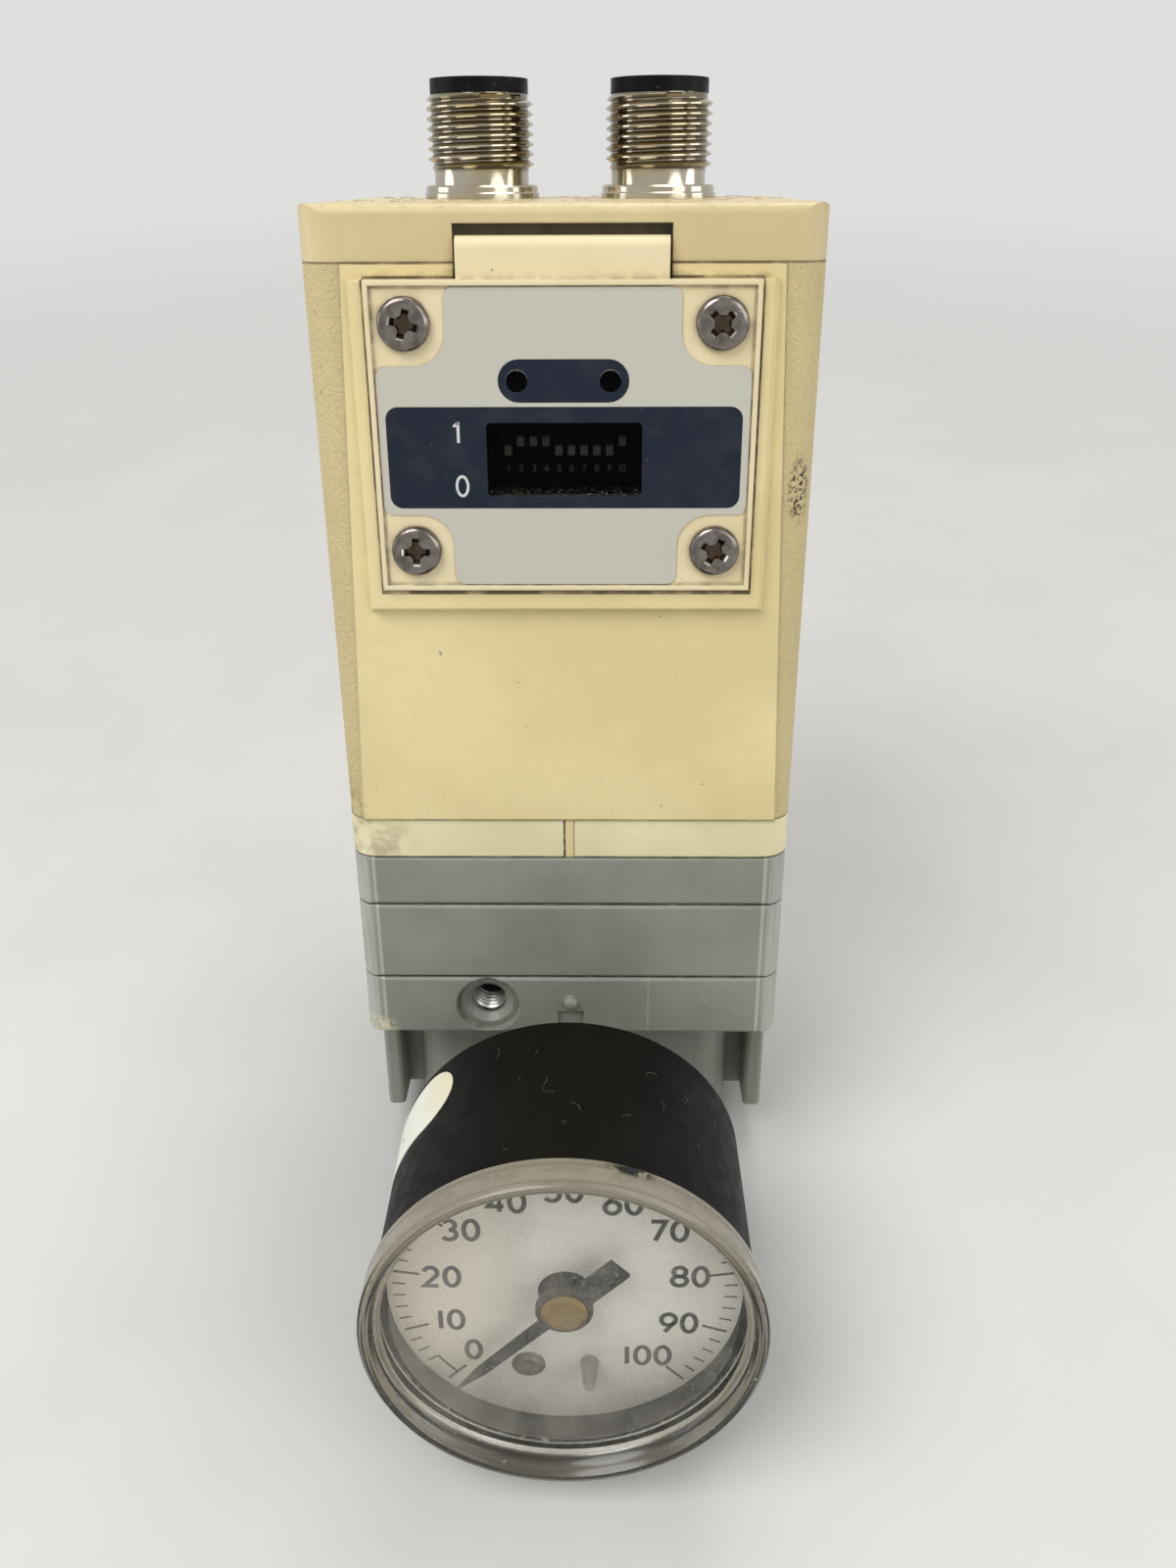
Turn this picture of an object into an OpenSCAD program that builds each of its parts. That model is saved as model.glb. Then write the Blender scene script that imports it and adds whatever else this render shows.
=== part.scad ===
// Electro-pneumatic regulator with a fieldbus head and a front gauge.
// Millimetres. Origin at the centre of the port block's bottom face, X right, -Y front, +Z up.

/* [Body stack] */
// Width and depth of the square body
body_w = 50; // [46:0.5:56]
// Radius of the body's upright corners
body_r = 3; // [2.5:0.1:4]
// Height of the port block
port_h = 18.5; // [18:0.1:22]
// Height of the shoulder plate over the port block
shoulder_h = 8; // [8:0.1:10]
// Height of the middle block
mid_h = 10; // [9:0.1:14]
// Height of the pilot block
pilot_h = 6.4; // [6:0.1:10]
// Height of the pale band under the cover
band_h = 4.8; // [4:0.1:7]
// Height of the electronics cover
cover_h = 58.2; // [56:0.1:70]
// Height of the top cap
cap_h = 5.1; // [4.9:0.1:8]
// Bevel on the edges of the cast blocks
edge_break = 0.4; // [0.2:0.05:0.8]
// Round along the top edge of the cap
cap_round = 0.9; // [0.4:0.1:1.5]
// Wall of the cover and the cap
wall = 2; // [1.6:0.1:2.4]
// Thickness of the cap's top
cap_top = 2.2; // [1.6:0.1:2.6]
// Play between moulded parts that slot together
play = 0.1; // [0.05:0.05:0.2]
// Depth of the lips that centre the cover on the band and the cap on the cover
lip_d = 1.6; // [1:0.1:1.7]
// Thickness of those lips
lip_t = 1.2; // [0.8:0.1:1.6]

/* [Port block] */
// Thickness of the modular flanges at the two sides
flange_t = 2.25; // [1.8:0.05:3]
// Width of the modular flanges
flange_w = 31; // [28:0.5:34]
// Width of the groove behind each flange
groove_w = 2.25; // [1.6:0.05:3]
// Width of the neck at the bottom of the groove
neck_w = 21; // [18:0.5:24]
// Depth of the block between the grooves, front to rear
block_d = 30; // [28:0.5:34]
// Corner radius of the block between the grooves
block_r = 4; // [2:0.5:6]
// Height of the port axes over the bottom
port_z = 9.5; // [9.3:0.1:10.5]
// Radius of the supply, outlet and exhaust ports
port_r = 5.6; // [5:0.1:6]
// Depth of the supply and outlet ports
port_depth = 14; // [12:0.5:16]
// Wall between the exhaust port and the bore of the bottom plug
exhaust_wall = 0.4; // [0.3:0.1:1]
// Radius of the ducts from the supply and outlet ports to the valve
duct_r = 2.2; // [1.6:0.1:2.3]
// Radius of the duct behind the gauge port
gauge_duct_r = 0.8; // [0.5:0.1:1]
// Radius of the gauge port
gauge_port_r = 4.3; // [4.2:0.05:4.6]
// Depth of the gauge port
gauge_port_depth = 6.4; // [5:0.1:7]
// Distance of the bracket holes across X
bracket_x = 32; // [30:0.5:33]
// Distance of the bracket holes across Y
bracket_y = 21; // [20:0.5:22]
// Radius of the bracket holes
bracket_r = 1.65; // [1.25:0.05:2.1]
// Depth of the bracket holes
bracket_depth = 6; // [4:0.5:8]
// Distance of the pilot exhaust hole from the middle
pilot_x = 10; // [7:0.5:14]
// Radius of the pilot exhaust hole
pilot_r = 2.1; // [1.6:0.05:2.5]
// Depth of the pilot exhaust hole behind its spot face
pilot_depth = 6.8; // [4:0.1:7]
// Radius of the countersink at the pilot exhaust hole
sink_r = 2.9; // [2.6:0.1:3.1]
// Radius of the spot face round the pilot exhaust hole
spot_r = 3.8; // [3.2:0.1:3.9]
// Depth of the spot face
spot_depth = 0.8; // [0.4:0.1:1.2]
// Radius of the round cast mark
pimple_r = 0.9; // [0.5:0.1:1.2]
// Drop of the round cast mark under the shoulder's top
pimple_drop = 3.5; // [3:0.1:4.5]
// Width of the square cast mark
mark_w = 3.1; // [2:0.1:4]
// Depth of the square cast mark
mark_depth = 0.35; // [0.2:0.05:0.6]

/* [Main valve] */
// Radius of the bore for the bottom plug
plug_r = 8; // [7.6:0.1:8.6]
// Height of the bottom plug
plug_h = 5; // [4.8:0.1:5.6]
// Setback of the plug's underside
plug_set = 0.4; // [0.2:0.1:0.8]
// Radius of the valve chambers
chamber_r = 6.5; // [6:0.1:6.8]
// Height of the valve seat over the bottom
seat_z = 10.5; // [10.2:0.1:11]
// Height of the land with the seat's hole
seat_h = 2; // [1:0.1:3]
// Radius of the seat's hole
seat_r = 3.5; // [2.6:0.1:4]
// Radius of the poppet
poppet_r = 5.2; // [4.8:0.1:5.6]
// Height of the poppet's disc
poppet_h = 2.4; // [1.6:0.1:2.6]
// Radius of the poppet's upper stem
stem_r = 1.4; // [1:0.1:1.8]
// Radius of the poppet's lower guide pin
pin_r = 2; // [1.6:0.1:2.2]
// Running clearance of the guide pin
run_play = 0.06; // [0.03:0.01:0.1]
// Travel of the main valve
valve_travel = 1.2; // [0.6:0.1:1.4]
// Mean radius of the valve spring
spring_r = 3.45; // [3.3:0.05:3.6]
// Radius of the spring wire
wire_r = 0.35; // [0.25:0.05:0.4]
// Turns of the valve spring
spring_turns = 3.5; // [3:0.5:4]
// Cross radius of the plug's seal ring
ring_r = 0.6; // [0.4:0.05:0.7]

/* [Diaphragms] */
// Radius of the feedback chamber in the shoulder plate
feedback_r = 15; // [14:0.5:16]
// Radius of the feedback diaphragm
feedback_disc_r = 17.5; // [17:0.5:18]
// Radius of the chamber between the diaphragms
between_r = 14.5; // [14:0.5:16]
// Radius of the pilot chamber
pilot_chamber_r = 16; // [15:0.5:17]
// Radius of the pilot diaphragm
pilot_disc_r = 19; // [18:0.5:20]
// Thickness of the diaphragms
disc_t = 1; // [0.6:0.1:1.2]
// Radius of the hub's post
post_r = 3; // [2.5:0.1:3.5]
// Radius of the hub's spacer between the diaphragms
spacer_r = 6; // [5:0.5:8]
// Radius of the hub's lower plate
lower_plate_r = 12; // [10:0.5:13]
// Radius of the hub's upper plate
upper_plate_r = 13; // [11:0.5:14]
// Thickness of the hub's plates
plate_t = 2; // [1.2:0.1:2.2]
// Radius of the relief bore in the hub
relief_r = 0.9; // [0.6:0.1:1]
// Height of the pilot chamber
pilot_chamber_h = 3.6; // [3.2:0.1:4]

/* [Stack screws] */
// Distance of the stack screws from the body's sides
stack_inset = 4.6; // [4.5:0.1:5.2]
// Radius of the stack screws
stack_r = 1.95; // [1.5:0.05:2.1]
// Radius of the stack screw heads
stack_head_r = 3.3; // [3:0.1:3.5]
// Height of the stack screw heads
stack_head_h = 3.8; // [3:0.1:4]
// Clearance round the stack screws
stack_play = 0.15; // [0.05:0.05:0.25]

/* [Front of the cover] */
// Height of the raised front panel over the cover's face
panel_t = 0.25; // [0.15:0.05:0.4]
// Inset of the front panel's edge at its foot
panel_foot = 1.9; // [1.5:0.1:3]
// Inset of the front panel's edge at its head
panel_head = 4.1; // [3.2:0.1:4.4]
// Width of the key rib under the cover
key_w = 1.1; // [0.8:0.1:2]
// Depth of the key rib
key_d = 1.2; // [0.8:0.1:1.4]
// Width of the switch cover
plate_w = 37.3; // [36.6:0.1:38]
// Height of the switch cover
plate_h = 29.65; // [29.5:0.05:34]
// Thickness of the switch cover
switch_t = 1.75; // [1.4:0.05:2.4]
// Distance of the switch cover's top under the cap
plate_drop = 1.35; // [1.2:0.05:2]
// Width of the thin rim round the switch cover
rim_w = 0.5; // [0.3:0.05:0.6]
// Height of the thin rim over the switch cover's face
rim_h = 0.35; // [0.2:0.05:0.5]
// Width of the bezel's sides
bezel_side = 1.65; // [1.2:0.05:2]
// Height of the bezel's foot
bezel_foot = 2.6; // [2:0.1:3.5]
// Thickness of the bezel
bezel_t = 1.25; // [0.8:0.05:1.6]
// Bevel of the bezel's outer edges
bezel_bevel = 0.6; // [0.3:0.05:0.8]
// Width of the tongue at the top of the switch cover
tongue_w = 20; // [16:0.5:24]
// Height of the tongue over the switch cover
tongue_h = 3.75; // [3:0.05:4.2]
// Thickness of the tongue
tongue_t = 2.2; // [1.6:0.1:2.4]
// Height of the cap's notch over the tongue
notch_play = 1; // [0.5:0.1:1.2]
// Distance of the cover screws across X
screw_x = 30; // [29:0.5:31]
// Distance of the cover screws across Z
screw_z = 21.7; // [21:0.1:23]
// Drop of the upper cover screws under the switch cover's top
screw_drop = 3.85; // [3.6:0.05:4.5]
// Radius of the cover screw heads
screw_head_r = 2.5; // [2:0.1:2.7]
// Height of the cover screw heads
screw_head_h = 0.9; // [0.6:0.1:1.4]
// Radius of the cover screws
screw_r = 1.45; // [1:0.05:1.6]
// Length of the cover screws under the head
screw_len = 6.4; // [5:0.1:7]
// Radius of the screw bosses inside the cover
boss_r = 2.9; // [2.4:0.1:3]
// Length of the screw bosses inside the cover
boss_len = 3; // [2:0.1:4]

/* [Label and window] */
// Width of the label's middle
label_w = 36; // [34:0.1:36.2]
// Height of the label's middle
label_h = 14.2; // [13:0.1:14.6]
// Width of the label's necks
neck_label_w = 22.4; // [20:0.1:22.8]
// Height of the whole label
label_full_h = 28.4; // [27:0.1:28.4]
// Thickness of the label
label_t = 0.15; // [0.1:0.05:0.25]
// Round of the label's inner corners
label_inner_r = 3.2; // [2:0.1:3.4]
// Round of the label's outer corners
label_outer_r = 1; // [0.5:0.1:2]
// Width of the window
window_w = 15.4; // [15:0.1:16]
// Height of the window
window_h = 7.3; // [7:0.1:8]
// Drop of the window's middle under the switch cover's top
window_drop = 16.5; // [16:0.1:17]
// Distance between the two indicators
led_x = 9; // [8:0.1:11]
// Drop of the indicators under the switch cover's top
led_drop = 9.1; // [8.6:0.1:10]
// Radius of the indicators
led_r = 1.05; // [0.8:0.05:1.4]
// Thickness of the window and the indicators
pane_t = 1; // [0.6:0.1:1.2]

/* [Switch bank] */
// Levers in the bank
levers = 10; // [10]
// Distance from lever to lever
lever_pitch = 1.27; // [1.2:0.01:1.3]
// Width of a lever
lever_w = 0.7; // [0.5:0.05:0.8]
// Height of a lever
lever_h = 0.9; // [0.6:0.05:1]
// Travel of a lever
lever_travel = 0.9; // [0.6:0.05:1]
// Reach of a lever out of the bank
lever_out = 0.5; // [0.3:0.05:0.6]
// Height of the bank
bank_h = 6.4; // [6:0.1:7]
// Thickness of the bank
bank_t = 3.4; // [3:0.1:3.6]
// Wall at the ends of the bank
bank_end = 0.9; // [0.5:0.1:1]
// Depth of the slot in the bank
slot_d = 1.2; // [0.8:0.1:1.6]
// Distance from the switch cover's front to the bank's front
bank_set = 3.6; // [3.4:0.1:4]
// Thickness of the boards
board_t = 1.6; // [1:0.1:2]
// Width of the switch board
switch_board_w = 22.6; // [21:0.1:23]
// Height of the switch board
switch_board_h = 23; // [22:0.5:24]
// Radius of the pegs that hold the switch board
peg_r = 0.9; // [0.6:0.1:1.2]
// Width of the shoulder on those pegs
peg_shoulder = 0.8; // [0.5:0.1:1]
// Reach of the pegs past the switch board
peg_over = 0.5; // [0.2:0.1:0.8]

/* [Bus connectors] */
// Distance between the connectors
bus_x = 20; // [19:0.5:21]
// Distance of the connectors behind the middle
bus_y = 7; // [4:0.5:9]
// Radius of the connector thread
bus_r = 5.95; // [5.8:0.05:6.2]
// Radius of the connector's flange
bus_flange_r = 6.5; // [6.4:0.1:7.2]
// Height of the connector's flange
bus_flange_h = 1.4; // [1:0.1:2]
// Radius of the neck under the thread
bus_neck_r = 5.3; // [5.2:0.05:5.6]
// Height of the neck under the thread
bus_neck_h = 1.7; // [1:0.1:2.2]
// Length of the connector thread
bus_thread_h = 7.4; // [6:0.1:9]
// Radius of the connector's bore
bus_bore_r = 4.75; // [4.6:0.05:4.9]
// Radius of the insert's rim
bus_rim_r = 5.42; // [5.2:0.02:5.6]
// Height of the insert's rim
bus_rim_h = 1.5; // [1:0.1:2]
// Radius of the socket in the insert
bus_socket_r = 4.15; // [4:0.05:4.3]
// Depth of the socket
bus_socket_h = 8.6; // [7:0.1:9]
// Contacts in a connector
bus_pins = 4; // [3:1:5]
// Radius of the contacts
bus_pin_r = 0.5; // [0.4:0.05:0.6]
// Radius of the circle of contacts
bus_pin_pcd = 2.5; // [2.2:0.1:2.8]
// Length of the connector under the cap's top face
bus_tail = 6.4; // [5.8:0.1:8]
// Width across the flats of the connector nuts
nut_flats = 14; // [13.5:0.5:15]
// Height of the connector nuts
nut_h = 2.4; // [1.8:0.1:2.6]

/* [Pilot valves and boards] */
// Distance of the two pilot valves from the middle
sol_x = 9.5; // [8:0.5:11]
// Distance of the pilot valves behind the middle
sol_y = 3; // [1:0.5:4]
// Width of a pilot valve
sol_w = 14; // [12:0.5:15]
// Depth of a pilot valve
sol_d = 16; // [13:0.5:17]
// Height of a pilot valve's block
sol_block_h = 8; // [6:0.5:10]
// Height of a pilot valve's coil
sol_coil_h = 16; // [13:0.5:18]
// Thickness of a pilot valve's yoke
sol_yoke_t = 1.5; // [1:0.1:2]
// Radius of a plunger
plunger_r = 2.5; // [2:0.1:3]
// Length of a plunger
plunger_len = 10.5; // [8:0.5:11]
// Travel of a plunger
plunger_travel = 0.6; // [0.3:0.05:0.8]
// Radius of the pilot passages
passage_r = 0.8; // [0.5:0.1:1.2]
// Radius of the pressure sensor
sensor_r = 4.5; // [3.5:0.1:5]
// Height of the pressure sensor
sensor_h = 5.5; // [4:0.1:7]
// Distance of the pressure sensor before the middle
sensor_y = 14; // [12:0.5:16]
// Width of the control board
board_w = 40; // [36:0.5:42]
// Height of the control board
board_h = 50; // [40:0.5:54]
// Gap between the control board and the cover's rear wall
board_gap = 5.4; // [3.4:0.1:6.4]
// Height of the guides that hold the control board
guide_h = 9; // [5:0.5:14]
// Width of those guides
guide_w = 4.4; // [3:0.1:5]
// Thickness of the guides before and behind the board
guide_lip = 1.6; // [1:0.1:2]
// Width of the processor on the control board
processor_w = 10; // [7:0.5:12]
// Thickness of the processor
processor_t = 1.6; // [1:0.1:2]
// Width of the memory on the control board
memory_w = 5; // [4:0.5:6]
// Height of the memory
memory_h = 7; // [5:0.5:8]
// Thickness of the memory
memory_t = 1.2; // [0.8:0.1:1.6]
// Width of the plug row for the bus wires
plug_row_w = 24; // [18:0.5:28]
// Height of the plug row
plug_row_h = 3.4; // [2.5:0.1:4]
// Thickness of the plug row
plug_row_t = 3.2; // [2.5:0.1:4]
// Width of the choke on the control board
choke_w = 4; // [3:0.5:5]
// Thickness of the choke
choke_t = 2.2; // [1.6:0.1:3]

/* [Gauge] */
// Distance from the body's front to the gauge's back
gauge_gap = 11.5; // [10:0.1:16]
// Radius of the gauge case
case_r = 19.5; // [19:0.1:21]
// Length of the gauge case
case_len = 23.6; // [23:0.1:26]
// Wall of the gauge case
case_wall = 0.8; // [0.6:0.05:1.2]
// Radius of the lens rim
lens_r = 20.3; // [19.8:0.1:22]
// Length of the lens rim
lens_len = 3.5; // [3:0.1:5]
// Bevel on the lens rim's outer edge
lens_bevel = 0.4; // [0.2:0.05:0.6]
// Inner radius of the lens rim's front face
lens_face_r = 19.2; // [18.8:0.05:19.6]
// Radius of the lens window
view_r = 18.25; // [17.8:0.05:18.5]
// Thickness of the lens window
view_t = 1.25; // [1:0.05:1.6]
// Gap between the pointer's boss and the lens window
view_gap = 0.35; // [0.3:0.05:0.6]
// Length of the lens skirt inside the case
skirt_len = 2.6; // [1.6:0.1:2.8]
// Thickness of the lens skirt
skirt_t = 1; // [0.8:0.1:1.2]
// Distance of the dial's face behind the case's front edge
dial_set = 3.1; // [2.9:0.1:4]
// Radius of the dial
dial_r = 18.3; // [17:0.1:18.6]
// Thickness of the dial
dial_t = 0.6; // [0.4:0.1:1]
// Radius of the hole in the dial
dial_hole_r = 2.8; // [2:0.1:3.2]
// Distance of the pointer in front of the dial
pointer_set = 2.1; // [1.6:0.1:2.4]
// Thickness of the pointer
pointer_t = 0.4; // [0.3:0.05:0.6]
// Length of the pointer
pointer_len = 16; // [13:0.1:16.6]
// Width of the pointer at its hub
pointer_w = 1.5; // [1.2:0.05:2]
// Width of the pointer where its point begins
neck_pointer_w = 1.1; // [0.6:0.05:1.2]
// Length of the pointer's point
point_len = 3.5; // [2:0.1:5]
// Length of the pointer's tail
tail_len = 8; // [6:0.1:9]
// Width of the pointer's tail
tail_w = 2.7; // [2:0.1:3.6]
// Radius of the pointer's hub
hub_r = 2.95; // [2.4:0.05:3.2]
// Radius of the brass boss on the hub
boss_hub_r = 2.35; // [1.8:0.05:2.6]
// Height of the brass boss
boss_hub_h = 0.6; // [0.5:0.1:1]
// Start of the scale, clockwise from the top
scale_start = -135; // [-150:1:-120]
// Radius of the dial rivet's head
rivet_head_r = 1.8; // [1.4:0.1:2.2]
// Height of the dial rivet's head
rivet_head_h = 0.5; // [0.3:0.1:0.8]
// Radius of the dial rivet's shank
rivet_r = 0.7; // [0.5:0.1:0.9]
// Length of the shank behind the dial
rivet_len = 1.5; // [1:0.1:2]
// Radius of the stop pin
stop_r = 1; // [0.6:0.1:1.3]
// Height of the stop pin over the pointer
stop_over = 0.7; // [0.3:0.1:0.8]
// Radius of the stop pin's foot
foot_r = 0.5; // [0.3:0.05:0.6]

/* [Gauge movement] */
// Radius of the stem in the gauge port
thread_r = 4.2; // [4:0.05:4.4]
// Length of the stem in the gauge port
thread_len = 5.8; // [4:0.1:6]
// Width across the flats of the stem's hexagon
hex_flats = 12; // [11:0.5:14]
// Length of the stem's hexagon
hex_len = 7; // [5:0.5:8]
// Radius of the stem inside the case
block_stem_r = 5; // [4.6:0.1:5.6]
// Height of the stem inside the case
block_stem_h = 8.2; // [8:0.1:8.6]
// Width of the block that holds the curved tube
socket_w = 5.2; // [4.6:0.1:6]
// Wall of that block round the tube
socket_wall = 0.6; // [0.4:0.1:0.8]
// Reach of that block past the tube's middle
socket_out = 1.6; // [1.2:0.1:2]
// Radius of the pressure passage in the stem
stem_bore_r = 1; // [0.6:0.1:1.4]
// Mean radius of the curved tube
tube_r = 14; // [13.5:0.1:14.6]
// Height of the curved tube's section
tube_h = 5; // [4:0.1:5.4]
// Thickness of the curved tube's section
tube_t = 1.4; // [1:0.1:1.8]
// Angle between the block and the tube's start
tube_lead = 1.5; // [1:0.1:3]
// Angle where the tube ends
tube_end = -20; // [-26:1:-12]
// Radius of the tube's end piece
tip_r = 1.3; // [1:0.1:1.5]
// Width of the movement's plates
frame_w = 14; // [13.5:0.1:15]
// Corner radius of the movement's plates
frame_corner = 2; // [1:0.1:3]
// Reach of the plates over the pinion
frame_over = 5; // [4.6:0.1:6]
// Reach of the plates under the sector's pivot
frame_under = 2.6; // [2:0.1:3]
// Radius of the pillars between the plates
pillar_r = 1; // [0.7:0.1:1.2]
// Inset of the pillars from the plates' sides
pillar_inset = 1.4; // [1.3:0.1:1.6]
// Drop of the pillars under the plates' top
pillar_drop = 1.8; // [1.6:0.1:2]
// Radius of the post that carries the dial
dial_post_r = 1.5; // [1.2:0.1:1.8]
// Thickness of the movement's plates
frame_t = 0.8; // [0.6:0.1:1]
// Distance between the movement's plates
frame_gap = 5.2; // [4.6:0.1:5.4]
// Tooth size of the movement's gears
gear_m = 0.25; // [0.24:0.01:0.27]
// Teeth of the pinion
pinion_teeth = 10; // [10]
// Teeth of the sector's full circle
sector_teeth = 80; // [80]
// Thickness of the sector
sector_t = 1.1; // [0.8:0.1:1.4]
// Radius of the pinion shaft
shaft_r = 0.5; // [0.4:0.05:0.55]
// Radius of the sector's hub
sector_hub_r = 1.6; // [1.2:0.1:1.8]
// Width of the sector's tail
tail_arm_w = 1.8; // [1.4:0.1:2]
// Radius of the eye at the end of the sector's tail
eye_r = 1.1; // [0.9:0.1:1.3]
// Length of the sector's tail
tail_arm = 5; // [4.4:0.1:5.6]
// Thickness of the link
link_t = 0.5; // [0.4:0.05:0.6]
// Width of the link
link_w = 1.6; // [1.2:0.1:2]
// Radius of the link's pin
link_pin_r = 0.5; // [0.4:0.05:0.6]

/* [Hidden] */
$fn = 64;
eps = 0.5;
front = -body_w / 2;
z_shoulder = port_h;
z_mid = z_shoulder + shoulder_h;
z_pilot = z_mid + mid_h;
z_band = z_pilot + pilot_h;
z_cover = z_band + band_h;
z_cap = z_cover + cover_h;
z_top = z_cap + cap_h;
block_w = body_w - 2 * (flange_t + groove_w);
block_front = -block_d / 2;
exhaust_depth = block_d / 2 - plug_r - exhaust_wall;
inner_w = body_w - 2 * wall;
board_y = inner_w / 2 - board_gap - board_t;
inner_r = body_r - wall + 0.8;
stack_xy = body_w / 2 - stack_inset;
stack_seat_z = z_shoulder + stack_head_h + play;
spot_z = z_shoulder + shoulder_h / 2;
face_y = front - panel_t;
plate_y = face_y - switch_t;
floor_y = plate_y + rim_h;
plate_top = z_cap - plate_drop;
plate_bottom = plate_top - plate_h;
plate_mid = (plate_top + plate_bottom) / 2;
screw_top = plate_top - screw_drop;
window_z = plate_top - window_drop;
led_z = plate_top - led_drop;
label_z = plate_mid;
bank_y = plate_y + bank_set;
bank_w = levers * lever_pitch + 2 * bank_end;
board_front = bank_y + bank_t;
slot_h = lever_h + lever_travel + 2 * play;
lever_on = [0, 1, 1, 1, 0, 0, 0, 0, 0, 1];
lever_mid = window_z + 0.8;
screw_turns = [[15, 0], [45, 0]];
peg_x = switch_board_w / 2 - 2;
peg_z = switch_board_h / 2 - 4.2;
bus_z = z_top;
bus_thread_z = bus_flange_h + bus_neck_h;
bus_end_z = bus_thread_z + bus_thread_h;
gauge_y = front - gauge_gap;
dial_z = case_len - dial_set;
pointer_z = dial_z + pointer_set;
view_back = pointer_z + pointer_t + boss_hub_h + view_gap;
stop_h = pointer_set + pointer_t + stop_over;
skirt_out = case_r - case_wall - play;
skirt_in = skirt_out - skirt_t;
pivot_d = gear_m * (pinion_teeth + sector_teeth) / 2;
pinion_r = gear_m * pinion_teeth / 2;
sector_r = gear_m * sector_teeth / 2;
frame_low = block_stem_h + case_wall;
frame_high = frame_low + frame_t + frame_gap;
sector_z = frame_low + frame_t + 1.9;
link_z = sector_z + sector_t + 0.2;
tube_z = case_wall + 1.7;
tail_dir = -45;
tail_at = [tail_arm * cos(tail_dir), -pivot_d + tail_arm * sin(tail_dir)];
tip_at = [tube_r * cos(tube_end), tube_r * sin(tube_end)];
rivet_at = [-3.95, -10.4];
stop_at = [2.5, -10];
seat_gap = 0.05;
poppet_top = seat_z - seat_gap;
poppet_low = poppet_top - poppet_h;
feedback_z = z_mid - disc_t;
pilot_z = z_pilot - disc_t;
lower_z = feedback_z - plate_t;
feedback_floor = lower_z - valve_travel - 0.6;
stem_top = lower_z - seat_gap;
spring_floor = plug_h - 1.6;
sol_bore_floor = z_cover + sol_block_h - 2.7;

module rounded_rect(w, d, r) {
  square([w - 2 * r, d], center = true);
  square([w, d - 2 * r], center = true);
  for (x = [-1, 1], y = [-1, 1])
    translate([x * (w / 2 - r), y * (d / 2 - r)])
      circle(r);
}

// Square block with upright round corners and all flat edges bevelled
module block(h) {
  half = body_w / 2 - edge_break;
  profile = [[-half, 0], [half, 0], [half + h / 2, h / 2], [half, h], [-half, h], [-half - h / 2, h / 2]];
  intersection() {
    linear_extrude(h)
      rounded_rect(body_w, body_w, body_r);
    rotate([90, 0, 0])
      linear_extrude(2 * body_w, center = true)
        polygon(profile);
    rotate([90, 0, 90])
      linear_extrude(2 * body_w, center = true)
        polygon(profile);
  }
}

// Outline drawn in X and Z, pushed toward the front from the plane y
module forward(y, depth) {
  translate([0, y, 0])
    rotate([90, 0, 0])
      linear_extrude(depth)
        children();
}

// Children in the gauge's own frame: local z runs from its back to the viewer
module at_gauge() {
  translate([0, gauge_y, port_z])
    rotate([90, 0, 0])
      children();
}

module at_stack() {
  for (x = [-1, 1], y = [-1, 1])
    translate([x * stack_xy, y * stack_xy, 0])
      children();
}

// Children at each cover screw, with its own angle in $turn
module at_cover_screws() {
  for (i = [0, 1], k = [0, 1])
    let ($turn = screw_turns[i][k])
      translate([(i - 0.5) * screw_x, 0, screw_top - k * screw_z])
        children();
}

module at_bus(side) {
  translate([side * bus_x / 2, bus_y, bus_z])
    children();
}

// Cylinder along Y from y0 to y1
module bar_y(r, y0, y1) {
  translate([0, y0, 0])
    rotate([-90, 0, 0])
      cylinder(r = r, h = y1 - y0);
}

// Cylinder along X from x0 to x1
module bar_x(r, x0, x1) {
  translate([x0, 0, 0])
    rotate([0, 90, 0])
      cylinder(r = r, h = x1 - x0);
}

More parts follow.
